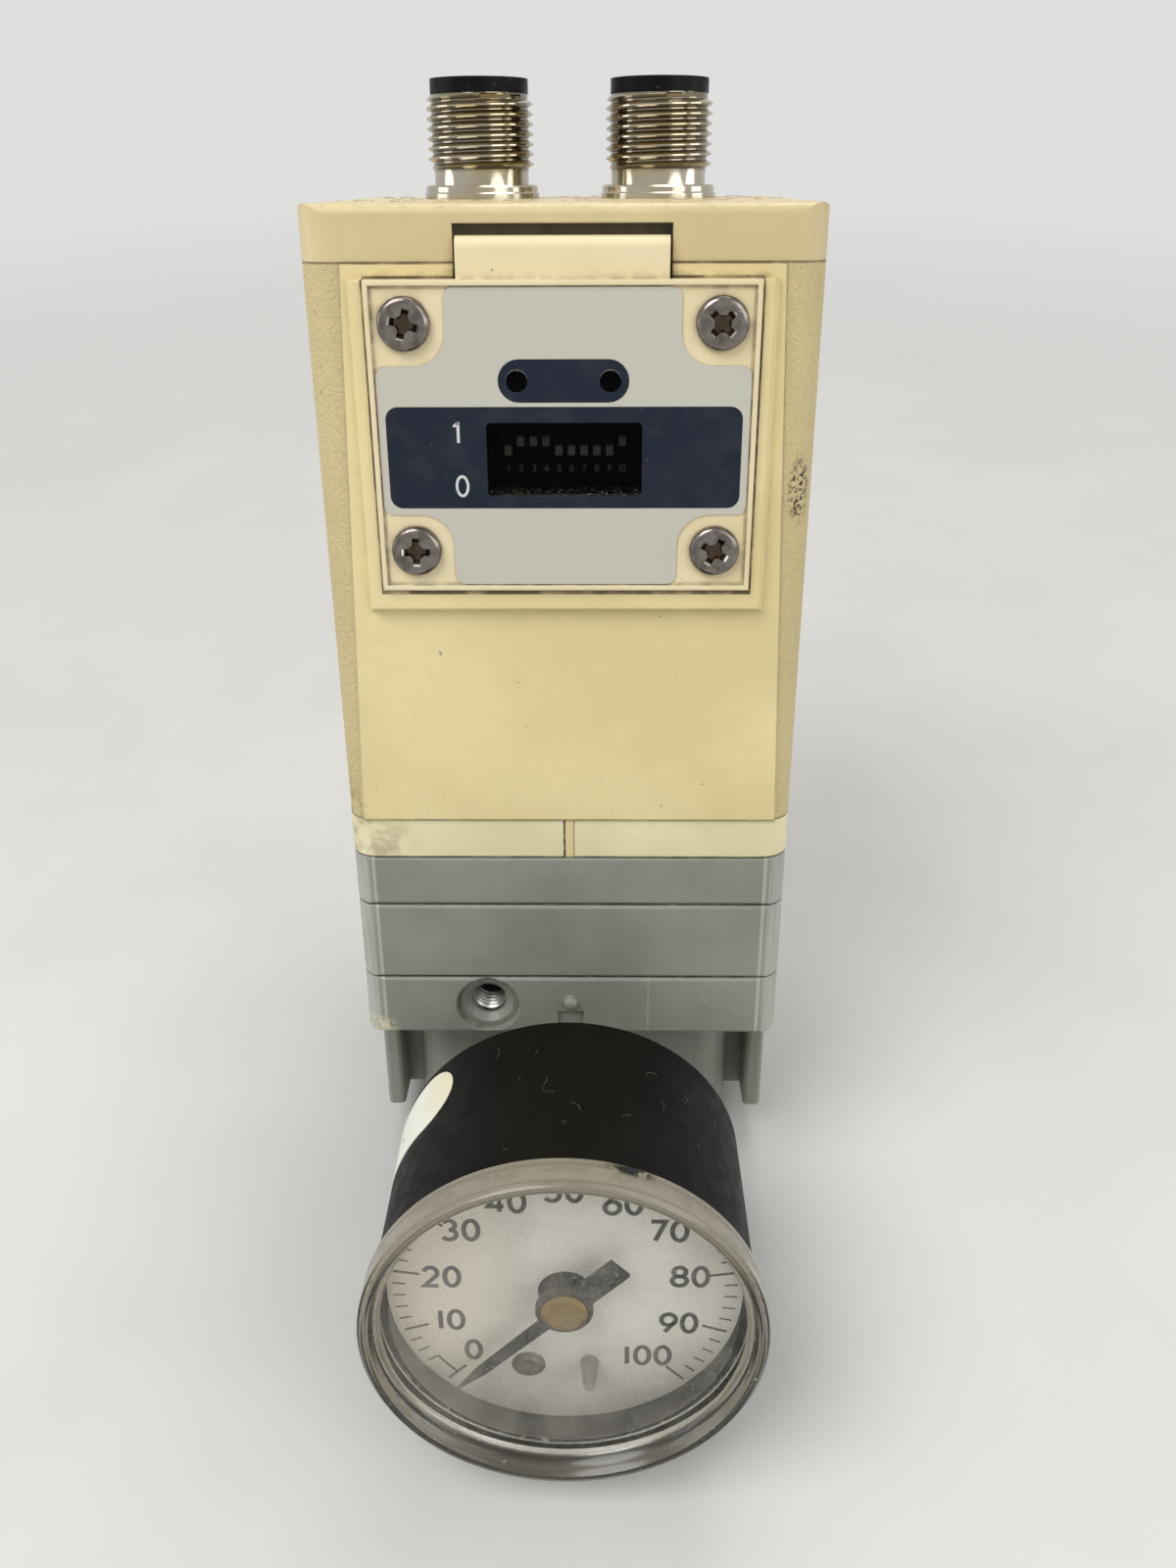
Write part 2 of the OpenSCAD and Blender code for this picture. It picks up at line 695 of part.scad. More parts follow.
module port_body() {
  color([0.52, 0.53, 0.5])
    difference() {
      union() {
        translate([0, 0, z_shoulder])
          block(shoulder_h);
        linear_extrude(z_shoulder + eps)
          rounded_rect(block_w, block_d, block_r);
        linear_extrude(z_shoulder + eps)
          square([body_w - flange_t, neck_w], center = true);
        for (s = [-1, 1])
          translate([s * (body_w - flange_t) / 2, 0, 0])
            linear_extrude(z_shoulder + eps)
              rounded_rect(flange_t, flange_w, flange_t * 0.3);
      }
      for (s = [-1, 1])
        translate([0, 0, port_z])
          mirror([s < 0 ? 1 : 0, 0, 0])
            bar_x(port_r, body_w / 2 - port_depth, body_w / 2 + eps);
      translate([0, 0, port_z])
        bar_y(port_r, block_d / 2 - exhaust_depth, block_d / 2 + eps);
      translate([0, 0, port_z])
        bar_y(gauge_port_r, block_front - eps, block_front + gauge_port_depth);
      translate([0, 0, (plug_h + seat_z) / 2])
        bar_x(duct_r, port_depth - body_w / 2 - eps, 0);
      translate([0, 0, seat_z + seat_h + duct_r])
        bar_x(duct_r, 0, body_w / 2 - port_depth + eps);
      translate([0, 0, port_z + gauge_port_r - gauge_duct_r - play])
        bar_y(gauge_duct_r, block_front + gauge_port_depth - eps, 0);
      for (x = [-1, 1], y = [-1, 1])
        translate([x * bracket_x / 2, y * bracket_y / 2, -eps])
          cylinder(r = bracket_r, h = bracket_depth + eps);
      translate([0, 0, -eps])
        cylinder(r = plug_r, h = plug_h + eps);
      translate([0, 0, plug_h - eps])
        cylinder(r = chamber_r, h = seat_z - plug_h + eps);
      cylinder(r = seat_r, h = z_mid);
      translate([0, 0, seat_z + seat_h])
        cylinder(r = chamber_r, h = z_mid);
      translate([0, 0, feedback_floor])
        cylinder(r = feedback_r, h = z_mid);
      translate([0, 0, feedback_z])
        cylinder(r = feedback_disc_r + play, h = disc_t + eps);
      at_stack() {
        cylinder(r = stack_r + stack_play, h = z_mid + eps);
        cylinder(r = stack_head_r + stack_play, h = stack_seat_z);
      }
      translate([-pilot_x, 0, spot_z]) {
        bar_y(spot_r, front - eps, front + spot_depth);
        bar_y(pilot_r, front - eps, front + spot_depth + pilot_depth);
        translate([0, front + spot_depth - play, 0])
          rotate([-90, 0, 0])
            cylinder(r1 = sink_r + play, r2 = pilot_r, h = sink_r + play - pilot_r);
      }
      translate([0, 0, z_shoulder + mark_w / 2])
        forward(front + mark_depth, 1)
          square(mark_w, center = true);
    }
  color([0.52, 0.53, 0.5])
    intersection() {
      translate([0, front, z_mid - pimple_drop])
        sphere(pimple_r);
      translate([-pimple_r, front - pimple_r, z_mid - pimple_drop - pimple_r])
        cube([2 * pimple_r, pimple_r + 0.2, 2 * pimple_r]);
    }
}

module mid_body() {
  color([0.56, 0.57, 0.54])
    difference() {
      translate([0, 0, z_mid])
        block(mid_h);
      translate([0, 0, z_mid - eps])
        cylinder(r = between_r, h = mid_h + 2 * eps);
      translate([0, 0, pilot_z])
        cylinder(r = pilot_disc_r + play, h = disc_t + eps);
      at_stack()
        cylinder(r = stack_r + stack_play, h = z_pilot + eps);
    }
}

module pilot_body() {
  color([0.6, 0.61, 0.58])
    difference() {
      translate([0, 0, z_pilot])
        block(pilot_h);
      translate([0, 0, z_pilot - eps])
        cylinder(r = pilot_chamber_r, h = pilot_chamber_h + eps);
      for (s = [-1, 1])
        translate([s * sol_x, sol_y, z_pilot])
          cylinder(r = passage_r, h = pilot_h + eps);
      at_stack()
        cylinder(r = stack_r + stack_play, h = z_band + eps);
    }
}

module base_plate() {
  lip_w = inner_w - 2 * play;
  slot_y = board_y - play;
  slot_w = board_t + 2 * play;
  color([0.88, 0.84, 0.7])
    difference() {
      union() {
        translate([0, 0, z_band])
          linear_extrude(band_h)
            rounded_rect(body_w, body_w, body_r);
        translate([0, 0, z_cover - eps])
          linear_extrude(lip_d + eps)
            difference() {
              rounded_rect(lip_w, lip_w, inner_r);
              rounded_rect(lip_w - 2 * lip_t, lip_w - 2 * lip_t, inner_r);
            }
        for (s = [-1, 1])
          translate([s * board_w / 2 - guide_w / 2, board_y - guide_lip, z_cover - eps])
            cube([guide_w, board_t + 2 * guide_lip, guide_h + eps]);
      }
      translate([-board_w / 2 - play, slot_y, z_cover])
        cube([board_w + 2 * play, slot_w, guide_h + eps]);
      translate([-key_w / 2 - play / 2, front - eps, z_band - eps])
        cube([key_w + play, key_d + play + eps, band_h + 2 * eps]);
      for (s = [-1, 1])
        translate([s * sol_x, sol_y, z_band - eps])
          cylinder(r = passage_r, h = band_h + 2 * eps);
      at_stack()
        translate([0, 0, z_band - eps])
          cylinder(r = stack_r + run_play, h = band_h - 0.6 + eps);
    }
}

// Raised U round the switch cover, with bevelled outer edges
module bezel() {
  half = plate_w / 2 + play + bezel_side;
  foot = plate_bottom - play - bezel_foot;
  reach = bezel_t + eps;
  slope = bezel_bevel / bezel_t;
  difference() {
    intersection() {
      translate([-body_w / 2, face_y - bezel_t, foot - 2])
        cube([body_w, reach, plate_top - foot + 2]);
      translate([0, 0, foot - 2])
        linear_extrude(plate_top)
          polygon([[-half + bezel_bevel, face_y - bezel_t], [half - bezel_bevel, face_y - bezel_t],
                   [half + slope * eps, face_y + eps], [-half - slope * eps, face_y + eps]]);
      rotate([90, 0, 90])
        linear_extrude(body_w, center = true)
          polygon([[face_y - bezel_t - 1, foot + bezel_bevel + slope], [face_y - bezel_t - 1, z_top],
                   [face_y + eps, z_top], [face_y + eps, foot - slope * eps]]);
    }
    translate([-plate_w / 2 - play, face_y - 2 * bezel_t, plate_bottom - play])
      cube([plate_w + 2 * play, 4 * bezel_t, plate_h + 4]);
  }
}

module cover() {
  color([0.86, 0.78, 0.56])
    difference() {
      union() {
        difference() {
          union() {
            translate([0, 0, z_cover])
              linear_extrude(cover_h)
                rounded_rect(body_w, body_w, body_r);
            forward(front + eps, panel_t + eps)
              polygon([[front + panel_foot, z_cover], [-front - panel_foot, z_cover],
                       [-front - panel_head, z_cap], [front + panel_head, z_cap]]);
          }
          translate([0, 0, z_cover - eps])
            linear_extrude(cover_h + 2 * eps)
              rounded_rect(inner_w, inner_w, inner_r);
        }
        bezel();
        translate([-key_w / 2, front, z_band])
          cube([key_w, key_d, band_h + eps]);
        at_cover_screws()
          bar_y(boss_r, front + eps, front + wall + boss_len);
        for (x = [-1, 1], z = [-1, 1])
          translate([x * peg_x, 0, plate_mid + z * peg_z]) {
            bar_y(peg_r + peg_shoulder, front + eps, board_front);
            bar_y(peg_r, front + eps, board_front + board_t + peg_over);
          }
      }
      at_cover_screws()
        bar_y(screw_r + run_play, front - 2 * eps, front + wall + boss_len + eps);
      translate([-bank_w / 2 - 0.6, front - 2, window_z - bank_h / 2 - 1])
        cube([bank_w + 1.2, wall + 4, led_z - window_z + bank_h / 2 + 3]);
      translate([-tongue_w / 2 - 0.25, front - 2, plate_top - 0.8])
        cube([tongue_w + 0.5, 2 + tongue_t / 2 + play, z_cap]);
    }
}

module cap() {
  lip_w = inner_w - 2 * play;
  color([0.8, 0.7, 0.5])
    difference() {
      union() {
        intersection() {
          translate([0, 0, z_cap])
            linear_extrude(cap_h)
              rounded_rect(body_w, body_w, body_r);
          for_each_side();
        }
        translate([0, 0, z_cap - lip_d])
          linear_extrude(lip_d + eps)
            rounded_rect(lip_w, lip_w, inner_r);
      }
      translate([0, 0, z_cap - lip_d - eps])
        linear_extrude(cap_h - cap_top + lip_d + eps)
          rounded_rect(lip_w - 2 * lip_t, lip_w - 2 * lip_t, inner_r);
      for (s = [-1, 1])
        at_bus(s)
          translate([0, 0, -cap_h])
            cylinder(r = bus_r + run_play, h = cap_h + eps);
      translate([-tongue_w / 2 - 0.25, front - 2, z_cap - eps])
        cube([tongue_w + 0.5, 2 + tongue_t / 2 + play, plate_top + tongue_h + notch_play - z_cap + eps]);
    }
}

// Two crossed bars with rounded top edges, which meet in the cap's outline
module for_each_side() {
  intersection() {
    rotate([90, 0, 0])
      linear_extrude(2 * body_w, center = true)
        cap_profile();
    rotate([90, 0, 90])
      linear_extrude(2 * body_w, center = true)
        cap_profile();
  }
}

module cap_profile() {
  half = body_w / 2 + 0.001;
  translate([-half, z_cap - 1])
    square([2 * half, cap_h + 1 - cap_round]);
  translate([-half + cap_round, z_cap - 1])
    square([2 * (half - cap_round), cap_h + 1]);
  for (s = [-1, 1])
    translate([s * (half - cap_round), z_top - cap_round])
      circle(cap_round);
}

module switch_cover() {
  tongue_r = tongue_t / 2;
  tongue_y = front;
  color([0.9, 0.85, 0.68])
    difference() {
      union() {
        translate([0, 0, plate_mid])
          forward(face_y, switch_t)
            square([plate_w, plate_h], center = true);
        rotate([90, 0, 90])
          linear_extrude(tongue_w, center = true) {
            translate([tongue_y, plate_top + tongue_h - tongue_r])
              circle(tongue_r);
            translate([tongue_y - tongue_r, plate_top - 0.6])
              square([tongue_t, tongue_h - tongue_r + 0.6]);
          }
      }
      translate([0, 0, plate_mid])
        forward(floor_y, 2 * rim_h)
          square([plate_w - 2 * rim_w, plate_h - 2 * rim_w], center = true);
      translate([0, 0, window_z])
        forward(front + 1, switch_t + 2)
          square([window_w, window_h], center = true);
      for (s = [-1, 1])
        translate([s * led_x / 2, 0, led_z])
          bar_y(led_r, plate_y - 1, front + 1);
      at_cover_screws()
        bar_y(screw_r + stack_play, plate_y - 1, front + 1);
    }
}

module label_outline() {
  rounded_rect(label_w, label_h, label_outer_r);
  rounded_rect(neck_label_w, label_full_h, label_outer_r);
  for (x = [-1, 1], y = [-1, 1])
    scale_to(x, y)
      translate([neck_label_w / 2 - 0.2, label_h / 2 - 0.2])
        difference() {
          square(label_inner_r + 0.2);
          translate([label_inner_r + 0.2, label_inner_r + 0.2])
            circle(label_inner_r);
        }
}

// Children mirrored into the quadrant of the signs x and y
module scale_to(x, y) {
  mirror([x < 0 ? 1 : 0, 0, 0])
    mirror([0, y < 0 ? 1 : 0, 0])
      children();
}

module front_label() {
  color([0.74, 0.74, 0.72])
    forward(floor_y, label_t)
      difference() {
        translate([0, label_z])
          label_outline();
        translate([0, window_z])
          square([window_w, window_h], center = true);
        for (s = [-1, 1])
          translate([s * led_x / 2, led_z])
            circle(led_r);
      }
}

module window_pane() {
  color([0.1, 0.1, 0.1, 0.6])
    translate([0, 0, window_z])
      forward(floor_y + pane_t, pane_t)
        square([window_w - 2 * play, window_h - 2 * play], center = true);
}

module indicator_lenses() {
  color([0.1, 0.1, 0.1])
    for (s = [-1, 1])
      translate([s * led_x / 2, 0, led_z])
        bar_y(led_r - run_play, floor_y, floor_y + pane_t);
}

module cover_screws() {
  a = screw_head_r * 0.58;
  b = 0.32;
  color([0.45, 0.44, 0.42])
    at_cover_screws()
      difference() {
        translate([0, floor_y, 0])
          rotate([90, 0, 0])
            rotate_extrude()
              polygon([[0, -screw_len], [screw_r, -screw_len], [screw_r, 0], [screw_head_r, 0],
                       [screw_head_r, screw_head_h * 0.5], [screw_head_r * 0.8, screw_head_h],
                       [0, screw_head_h]]);
        translate([0, floor_y, 0])
          rotate([90, $turn, 0])
            linear_extrude(screw_head_h + eps)
              polygon([[a, b], [b, b], [b, a], [-b, a], [-b, b], [-a, b], [-a, -b], [-b, -b],
                       [-b, -a], [b, -a], [b, -b], [a, -b]]);
      }
}

module stack_screws() {
  color([0.5, 0.5, 0.5])
    at_stack()
      difference() {
        union() {
          translate([0, 0, stack_seat_z - stack_head_h])
            cylinder(r = stack_head_r, h = stack_head_h);
          translate([0, 0, stack_seat_z - eps])
            cylinder(r = stack_r, h = z_cover - 0.9 - stack_seat_z + eps);
        }
        translate([0, 0, stack_seat_z - stack_head_h - eps])
          cylinder(r = stack_head_r * 0.52, h = 2 + eps, $fn = 6);
      }
}

module connector_shell(side) {
  color([0.78, 0.74, 0.62])
    at_bus(side)
      rotate_extrude()
        polygon([[bus_bore_r, -bus_tail], [bus_r, -bus_tail], [bus_r, 0], [bus_flange_r, 0],
                 [bus_flange_r, bus_flange_h], [bus_neck_r, bus_flange_h], [bus_neck_r, bus_thread_z],
                 [bus_r, bus_thread_z], [bus_r, bus_end_z], [bus_bore_r, bus_end_z]]);
}

module at_bus_pins() {
  for (i = [0 : bus_pins - 1])
    rotate([0, 0, 45 + 360 / bus_pins * i])
      translate([bus_pin_pcd, 0, 0])
        children();
}

module connector_insert(side) {
  body_r2 = bus_bore_r - run_play;
  top = bus_end_z + bus_rim_h;
  color([0.08, 0.08, 0.08])
    at_bus(side)
      difference() {
        rotate_extrude()
          polygon([[0, -bus_tail + 0.4], [body_r2, -bus_tail + 0.4], [body_r2, bus_end_z],
                   [bus_rim_r, bus_end_z], [bus_rim_r, top], [bus_socket_r, top],
                   [bus_socket_r, top - bus_socket_h], [0, top - bus_socket_h]]);
        at_bus_pins()
          translate([0, 0, -bus_tail])
            cylinder(r = bus_pin_r + run_play / 2, h = top + bus_tail, $fn = 24);
      }
}

module connector_pins(side) {
  top = bus_end_z + bus_rim_h;
  color([0.85, 0.7, 0.35])
    at_bus(side)
      at_bus_pins() {
        translate([0, 0, -bus_tail - 1.2])
          cylinder(r = bus_pin_r, h = top - 2 + bus_tail + 1.2 - bus_pin_r, $fn = 24);
        translate([0, 0, top - 2 - bus_pin_r])
          cylinder(r1 = bus_pin_r, r2 = bus_pin_r * 0.5, h = bus_pin_r, $fn = 24);
      }
}

module connector_nuts() {
  color([0.7, 0.68, 0.6])
    for (s = [-1, 1])
      at_bus(s)
        translate([0, 0, -cap_top - nut_h])
          difference() {
            cylinder(r = nut_flats / sqrt(3), h = nut_h, $fn = 6);
            translate([0, 0, -eps])
              cylinder(r = bus_r + run_play, h = nut_h + 2 * eps);
          }
}

// Component on the front of the control board, its corner at x and the share z of the board's height
module board_chip(x, z, w, h, t) {
  translate([x, board_y - t, z_cover + z * board_h])
    cube([w, t + eps, h]);
}

module control_board() {
  color([0.1, 0.35, 0.2])
    translate([-board_w / 2, board_y, z_cover])
      cube([board_w, board_t, board_h]);
  color([0.1, 0.1, 0.1]) {
    board_chip(-0.9 * processor_w, 0.5, processor_w, processor_w, processor_t);
    board_chip(1.2 * memory_w, 0.6, memory_w, memory_h, memory_t);
    board_chip(-plug_row_w / 2, 0.9, plug_row_w, plug_row_h, plug_row_t);
    board_chip(3.1 * choke_w, 0.44, choke_w, choke_w, choke_t);
  }
}

module switch_board() {
  color([0.1, 0.35, 0.2])
    difference() {
      translate([0, 0, plate_mid])
        forward(board_front + board_t, board_t)
          square([switch_board_w, switch_board_h], center = true);
      for (x = [-1, 1], z = [-1, 1])
        translate([x * peg_x, 0, plate_mid + z * peg_z])
          bar_y(peg_r + run_play, board_front - eps, board_front + board_t + eps);
    }
}

module dip_switch_body() {
  color([0.12, 0.12, 0.13])
    difference() {
      translate([0, 0, window_z])
        forward(board_front, bank_t)
          square([bank_w, bank_h], center = true);
      for (i = [0 : levers - 1])
        translate([lever_at(i) - lever_w / 2 - play, bank_y - eps, lever_mid - slot_h / 2])
          cube([lever_w + 2 * play, slot_d + eps, slot_h]);
    }
}

function lever_at(i) = (i - (levers - 1) / 2) * lever_pitch;

module dip_lever(i) {
  z = lever_mid + (lever_on[i] - 0.5) * lever_travel;
  color([0.9, 0.9, 0.88])
    translate([lever_at(i) - lever_w / 2, bank_y - lever_out, z - lever_h / 2])
      cube([lever_w, lever_out + slot_d - play, lever_h]);
}

module status_leds() {
  color([0.8, 0.9, 0.8])
    for (s = [-1, 1])
      translate([s * led_x / 2, 0, led_z]) {
        bar_y(led_r * 0.8, board_front - 2.6, board_front);
        translate([0, board_front - 2.6, 0])
          sphere(led_r * 0.8);
      }
}

module solenoid(side) {
  yoke_z = sol_block_h + sol_coil_h;
  color([0.3, 0.3, 0.32])
    translate([side * sol_x, sol_y, z_cover])
      difference() {
        union() {
          linear_extrude(sol_block_h)
            rounded_rect(sol_w, sol_d, 1);
          cylinder(r = sol_w / 2 - 0.8, h = yoke_z + eps / 2);
          translate([0, 0, yoke_z])
            linear_extrude(sol_yoke_t)
              rounded_rect(sol_w, sol_d, 1);
          for (s = [-1, 1])
            translate([-sol_w / 2 + 2, s * (sol_d - sol_yoke_t) / 2 - sol_yoke_t / 2, sol_block_h - eps])
              cube([sol_w - 4, sol_yoke_t, sol_coil_h + 2 * eps]);
        }
        translate([0, 0, sol_bore_floor - z_cover])
          cylinder(r = plunger_r + run_play, h = plunger_len + plunger_travel + 0.6);
        translate([0, 0, -eps])
          cylinder(r = passage_r, h = sol_bore_floor - z_cover + 2 * eps);
      }
}

module plunger(side) {
  color([0.7, 0.7, 0.72])
    translate([side * sol_x, sol_y, sol_bore_floor + seat_gap])
      cylinder(r = plunger_r, h = plunger_len);
}

module pressure_sensor() {
  color([0.75, 0.75, 0.76])
    translate([0, -sensor_y, z_cover]) {
      cylinder(r = sensor_r, h = sensor_h * 0.6);
      cylinder(r = sensor_r * 0.8, h = sensor_h);
    }
}

module diaphragm(r, z) {
  color([0.15, 0.15, 0.15])
    translate([0, 0, z])
      difference() {
        cylinder(r = r, h = disc_t);
        translate([0, 0, -eps])
          cylinder(r = post_r + run_play, h = disc_t + 2 * eps);
      }
}

module diaphragm_hub() {
  color([0.8, 0.7, 0.4])
    difference() {
      rotate_extrude()
        polygon([[0, lower_z], [lower_plate_r, lower_z], [lower_plate_r, feedback_z], [post_r, feedback_z],
                 [post_r, z_mid], [spacer_r, z_mid], [spacer_r, pilot_z], [post_r, pilot_z],
                 [post_r, z_pilot], [upper_plate_r, z_pilot], [upper_plate_r, z_pilot + plate_t],
                 [0, z_pilot + plate_t]]);
      translate([0, 0, lower_z - eps])
        cylinder(r = relief_r, h = z_mid + mid_h / 2 - lower_z + eps);
      translate([0, 0, z_mid + mid_h / 2])
        bar_x(relief_r, -spacer_r - eps, spacer_r + eps);
    }
}

module valve_poppet() {
  pin_low = spring_floor - 0.2;
  color([0.8, 0.7, 0.4])
    rotate_extrude()
      polygon([[0, pin_low], [pin_r, pin_low], [pin_r, poppet_low], [poppet_r, poppet_low],
               [poppet_r, poppet_top], [stem_r, poppet_top], [stem_r, stem_top], [0, stem_top]]);
}

// Wire of the valve spring: rings of eight points swept along the helix
module valve_spring() {
  steps = 24 * spring_turns;
  z0 = spring_floor + wire_r + 0.02;
  z1 = poppet_low - wire_r - 0.02;
  function ring(k) = [for (j = [0 : 7])
    let (a = 360 * spring_turns * k / steps, c = wire_r * cos(45 * j), d = wire_r * sin(45 * j))
    [(spring_r + c) * cos(a), (spring_r + c) * sin(a), z0 + (z1 - z0) * k / steps + d]];
  points = [for (k = [0 : steps]) each ring(k)];
  sides = [for (k = [0 : steps - 1], j = [0 : 7])
    [8 * k + j, 8 * (k + 1) + j, 8 * (k + 1) + (j + 1) % 8, 8 * k + (j + 1) % 8]];
  low = [for (j = [0 : 7]) j];
  high = [for (j = [7 : -1 : 0]) 8 * steps + j];
  color([0.6, 0.6, 0.62])
    polyhedron(points, concat(sides, [low, high]));
}

module valve_guide() {
  out = plug_r - run_play;
  groove_in = plug_r - 2 * ring_r - 0.1;
  groove_z = (plug_set + spring_floor) / 2;
  color([0.8, 0.7, 0.4])
    difference() {
      translate([0, 0, plug_set])
        cylinder(r = out, h = plug_h - plug_set);
      translate([0, 0, spring_floor])
        difference() {
          cylinder(r = spring_r + wire_r + 0.3, h = plug_h);
          translate([0, 0, -eps])
            cylinder(r = spring_r - wire_r - 0.3, h = plug_h);
        }
      translate([0, 0, spring_floor - 0.2 - valve_travel - 0.2])
        cylinder(r = pin_r + run_play, h = plug_h);
      translate([0, 0, groove_z - ring_r - 0.1])
        difference() {
          cylinder(r = plug_r + eps, h = 2 * ring_r + 0.2);
          translate([0, 0, -eps])
            cylinder(r = groove_in, h = 2 * ring_r + 1 + eps);
        }
      translate([-plug_r, -0.6, 0])
        cube([2 * plug_r, 1.2, plug_set + 0.7]);
    }
}

module guide_seal() {
  groove_z = (plug_set + spring_floor) / 2;
  color([0.1, 0.1, 0.1])
    translate([0, 0, groove_z])
      rotate_extrude()
        translate([plug_r - ring_r - 0.05, 0])
          circle(ring_r, $fn = 24);
}

module gauge_stem() {
  back = gauge_y - block_front;
  color([0.75, 0.62, 0.32])
    at_gauge()
      difference() {
        union() {
          translate([0, 0, back - thread_len])
            cylinder(r = thread_r, h = thread_len - back);
          translate([0, 0, -hex_len])
            cylinder(r = hex_flats / sqrt(3), h = hex_len, $fn = 6);
          translate([0, 0, -eps])
            cylinder(r = block_stem_r, h = frame_low + eps);
          translate([-socket_w / 2, -tube_r - socket_out, tube_z - socket_wall])
            cube([socket_w, tube_r + socket_out, tube_h + 2 * socket_wall]);
        }
        translate([0, 0, back - thread_len - eps])
          cylinder(r = stem_bore_r, h = thread_len - back + tube_z + tube_h / 2 + eps);
      }
}

module gauge_case() {
  in_r = case_r - case_wall;
  color([0.08, 0.08, 0.08])
    at_gauge()
      rotate_extrude()
        polygon([[block_stem_r + run_play, 0], [case_r - 1, 0], [case_r, 1], [case_r, case_len],
                 [in_r, case_len], [in_r, 1.2], [in_r - 0.4, case_wall],
                 [block_stem_r + run_play, case_wall]]);
}

module gauge_lens() {
  rim_top = case_len + lens_len;
  color([0.9, 0.9, 0.88, 0.4])
    at_gauge()
      rotate_extrude()
        polygon([[0, view_back], [skirt_in, view_back], [skirt_in, case_len - skirt_len],
                 [skirt_out, case_len - skirt_len], [skirt_out, case_len], [lens_r, case_len],
                 [lens_r, rim_top - lens_bevel], [lens_r - lens_bevel, rim_top], [lens_face_r, rim_top],
                 [view_r, view_back + view_t], [0, view_back + view_t]]);
}

module gauge_dial() {
  color([0.93, 0.92, 0.88])
    at_gauge()
      translate([0, 0, dial_z - dial_t])
        difference() {
          cylinder(r = dial_r, h = dial_t);
          translate([0, 0, -eps])
            cylinder(r = dial_hole_r, h = dial_t + 2 * eps);
          translate([rivet_at.x, rivet_at.y, -eps])
            cylinder(r = rivet_r + run_play, h = dial_t + 2 * eps);
          translate([stop_at.x, stop_at.y, -eps])
            cylinder(r = foot_r + run_play, h = dial_t + 2 * eps);
        }
}

module dial_rivet() {
  color([0.55, 0.55, 0.55])
    at_gauge()
      translate([rivet_at.x, rivet_at.y, dial_z]) {
        cylinder(r1 = rivet_head_r, r2 = rivet_head_r * 0.65, h = rivet_head_h);
        translate([0, 0, -dial_t - rivet_len])
          cylinder(r = rivet_r, h = dial_t + rivet_len + rivet_head_h / 2);
      }
}

module stop_pin() {
  color([0.75, 0.74, 0.7])
    at_gauge()
      translate([stop_at.x, stop_at.y, dial_z]) {
        cylinder(r1 = stop_r, r2 = stop_r * 0.6, h = stop_h);
        translate([0, 0, -dial_t - play])
          cylinder(r = foot_r, h = dial_t + 2 * play);
      }
}

module gauge_pointer() {
  color([0.07, 0.07, 0.07])
    at_gauge()
      rotate([0, 0, -scale_start])
        translate([0, 0, pointer_z])
          linear_extrude(pointer_t)
            difference() {
              union() {
                circle(hub_r);
                polygon([[-pointer_w / 2, 0], [pointer_w / 2, 0],
                         [neck_pointer_w / 2, pointer_len - point_len], [0, pointer_len],
                         [-neck_pointer_w / 2, pointer_len - point_len]]);
                translate([-tail_w / 2, -tail_len])
                  square([tail_w, tail_len]);
              }
              circle(shaft_r + run_play);
            }
}

module pointer_hub() {
  color([0.8, 0.65, 0.3])
    at_gauge()
      translate([0, 0, pointer_z + pointer_t])
        difference() {
          rotate_extrude()
            polygon([[0, 0], [boss_hub_r, 0], [boss_hub_r, boss_hub_h * 0.6], [boss_hub_r * 0.8, boss_hub_h],
                     [0, boss_hub_h]]);
          translate([0, 0, -eps])
            cylinder(r = shaft_r + run_play, h = eps + boss_hub_h * 0.6 + 0.05);
        }
}

// Gear tooth on the circle r, centred on +X
module tooth(r) {
  polygon([[r - 1.5 * gear_m, -0.85 * gear_m], [r, -0.6 * gear_m], [r + 0.8 * gear_m, -0.32 * gear_m],
           [r + 0.8 * gear_m, 0.32 * gear_m], [r, 0.6 * gear_m], [r - 1.5 * gear_m, 0.85 * gear_m]]);
}

module pinion_shaft() {
  top = pointer_z + pointer_t + boss_hub_h * 0.6;
  color([0.75, 0.65, 0.35])
    at_gauge() {
      translate([0, 0, frame_low + 0.1])
        cylinder(r = shaft_r, h = top - frame_low - 0.1);
      translate([0, 0, sector_z - 0.2])
        linear_extrude(sector_t + 0.4) {
          circle(pinion_r - 1.3 * gear_m);
          for (i = [0 : pinion_teeth - 1])
            rotate(-90 + 360 / pinion_teeth * i)
              tooth(pinion_r);
        }
    }
}

module bourdon_tube() {
  start = tube_lead - acos(socket_w / 2 / (tube_r - tube_t / 2));
  color([0.75, 0.6, 0.3])
    at_gauge() {
      mirror([1, 0, 0])
        rotate([0, 0, start])
          rotate_extrude(angle = 180 - start - tube_end)
            translate([tube_r - tube_t / 2, tube_z])
              square([tube_t, tube_h]);
      translate([tip_at.x, tip_at.y, tube_z])
        cylinder(r = tip_r, h = link_z - 2 * play - tube_z);
    }
}

module frame_outline() {
  low = -pivot_d - frame_under;
  translate([0, (low + frame_over) / 2])
    rounded_rect(frame_w, frame_over - low, frame_corner);
}

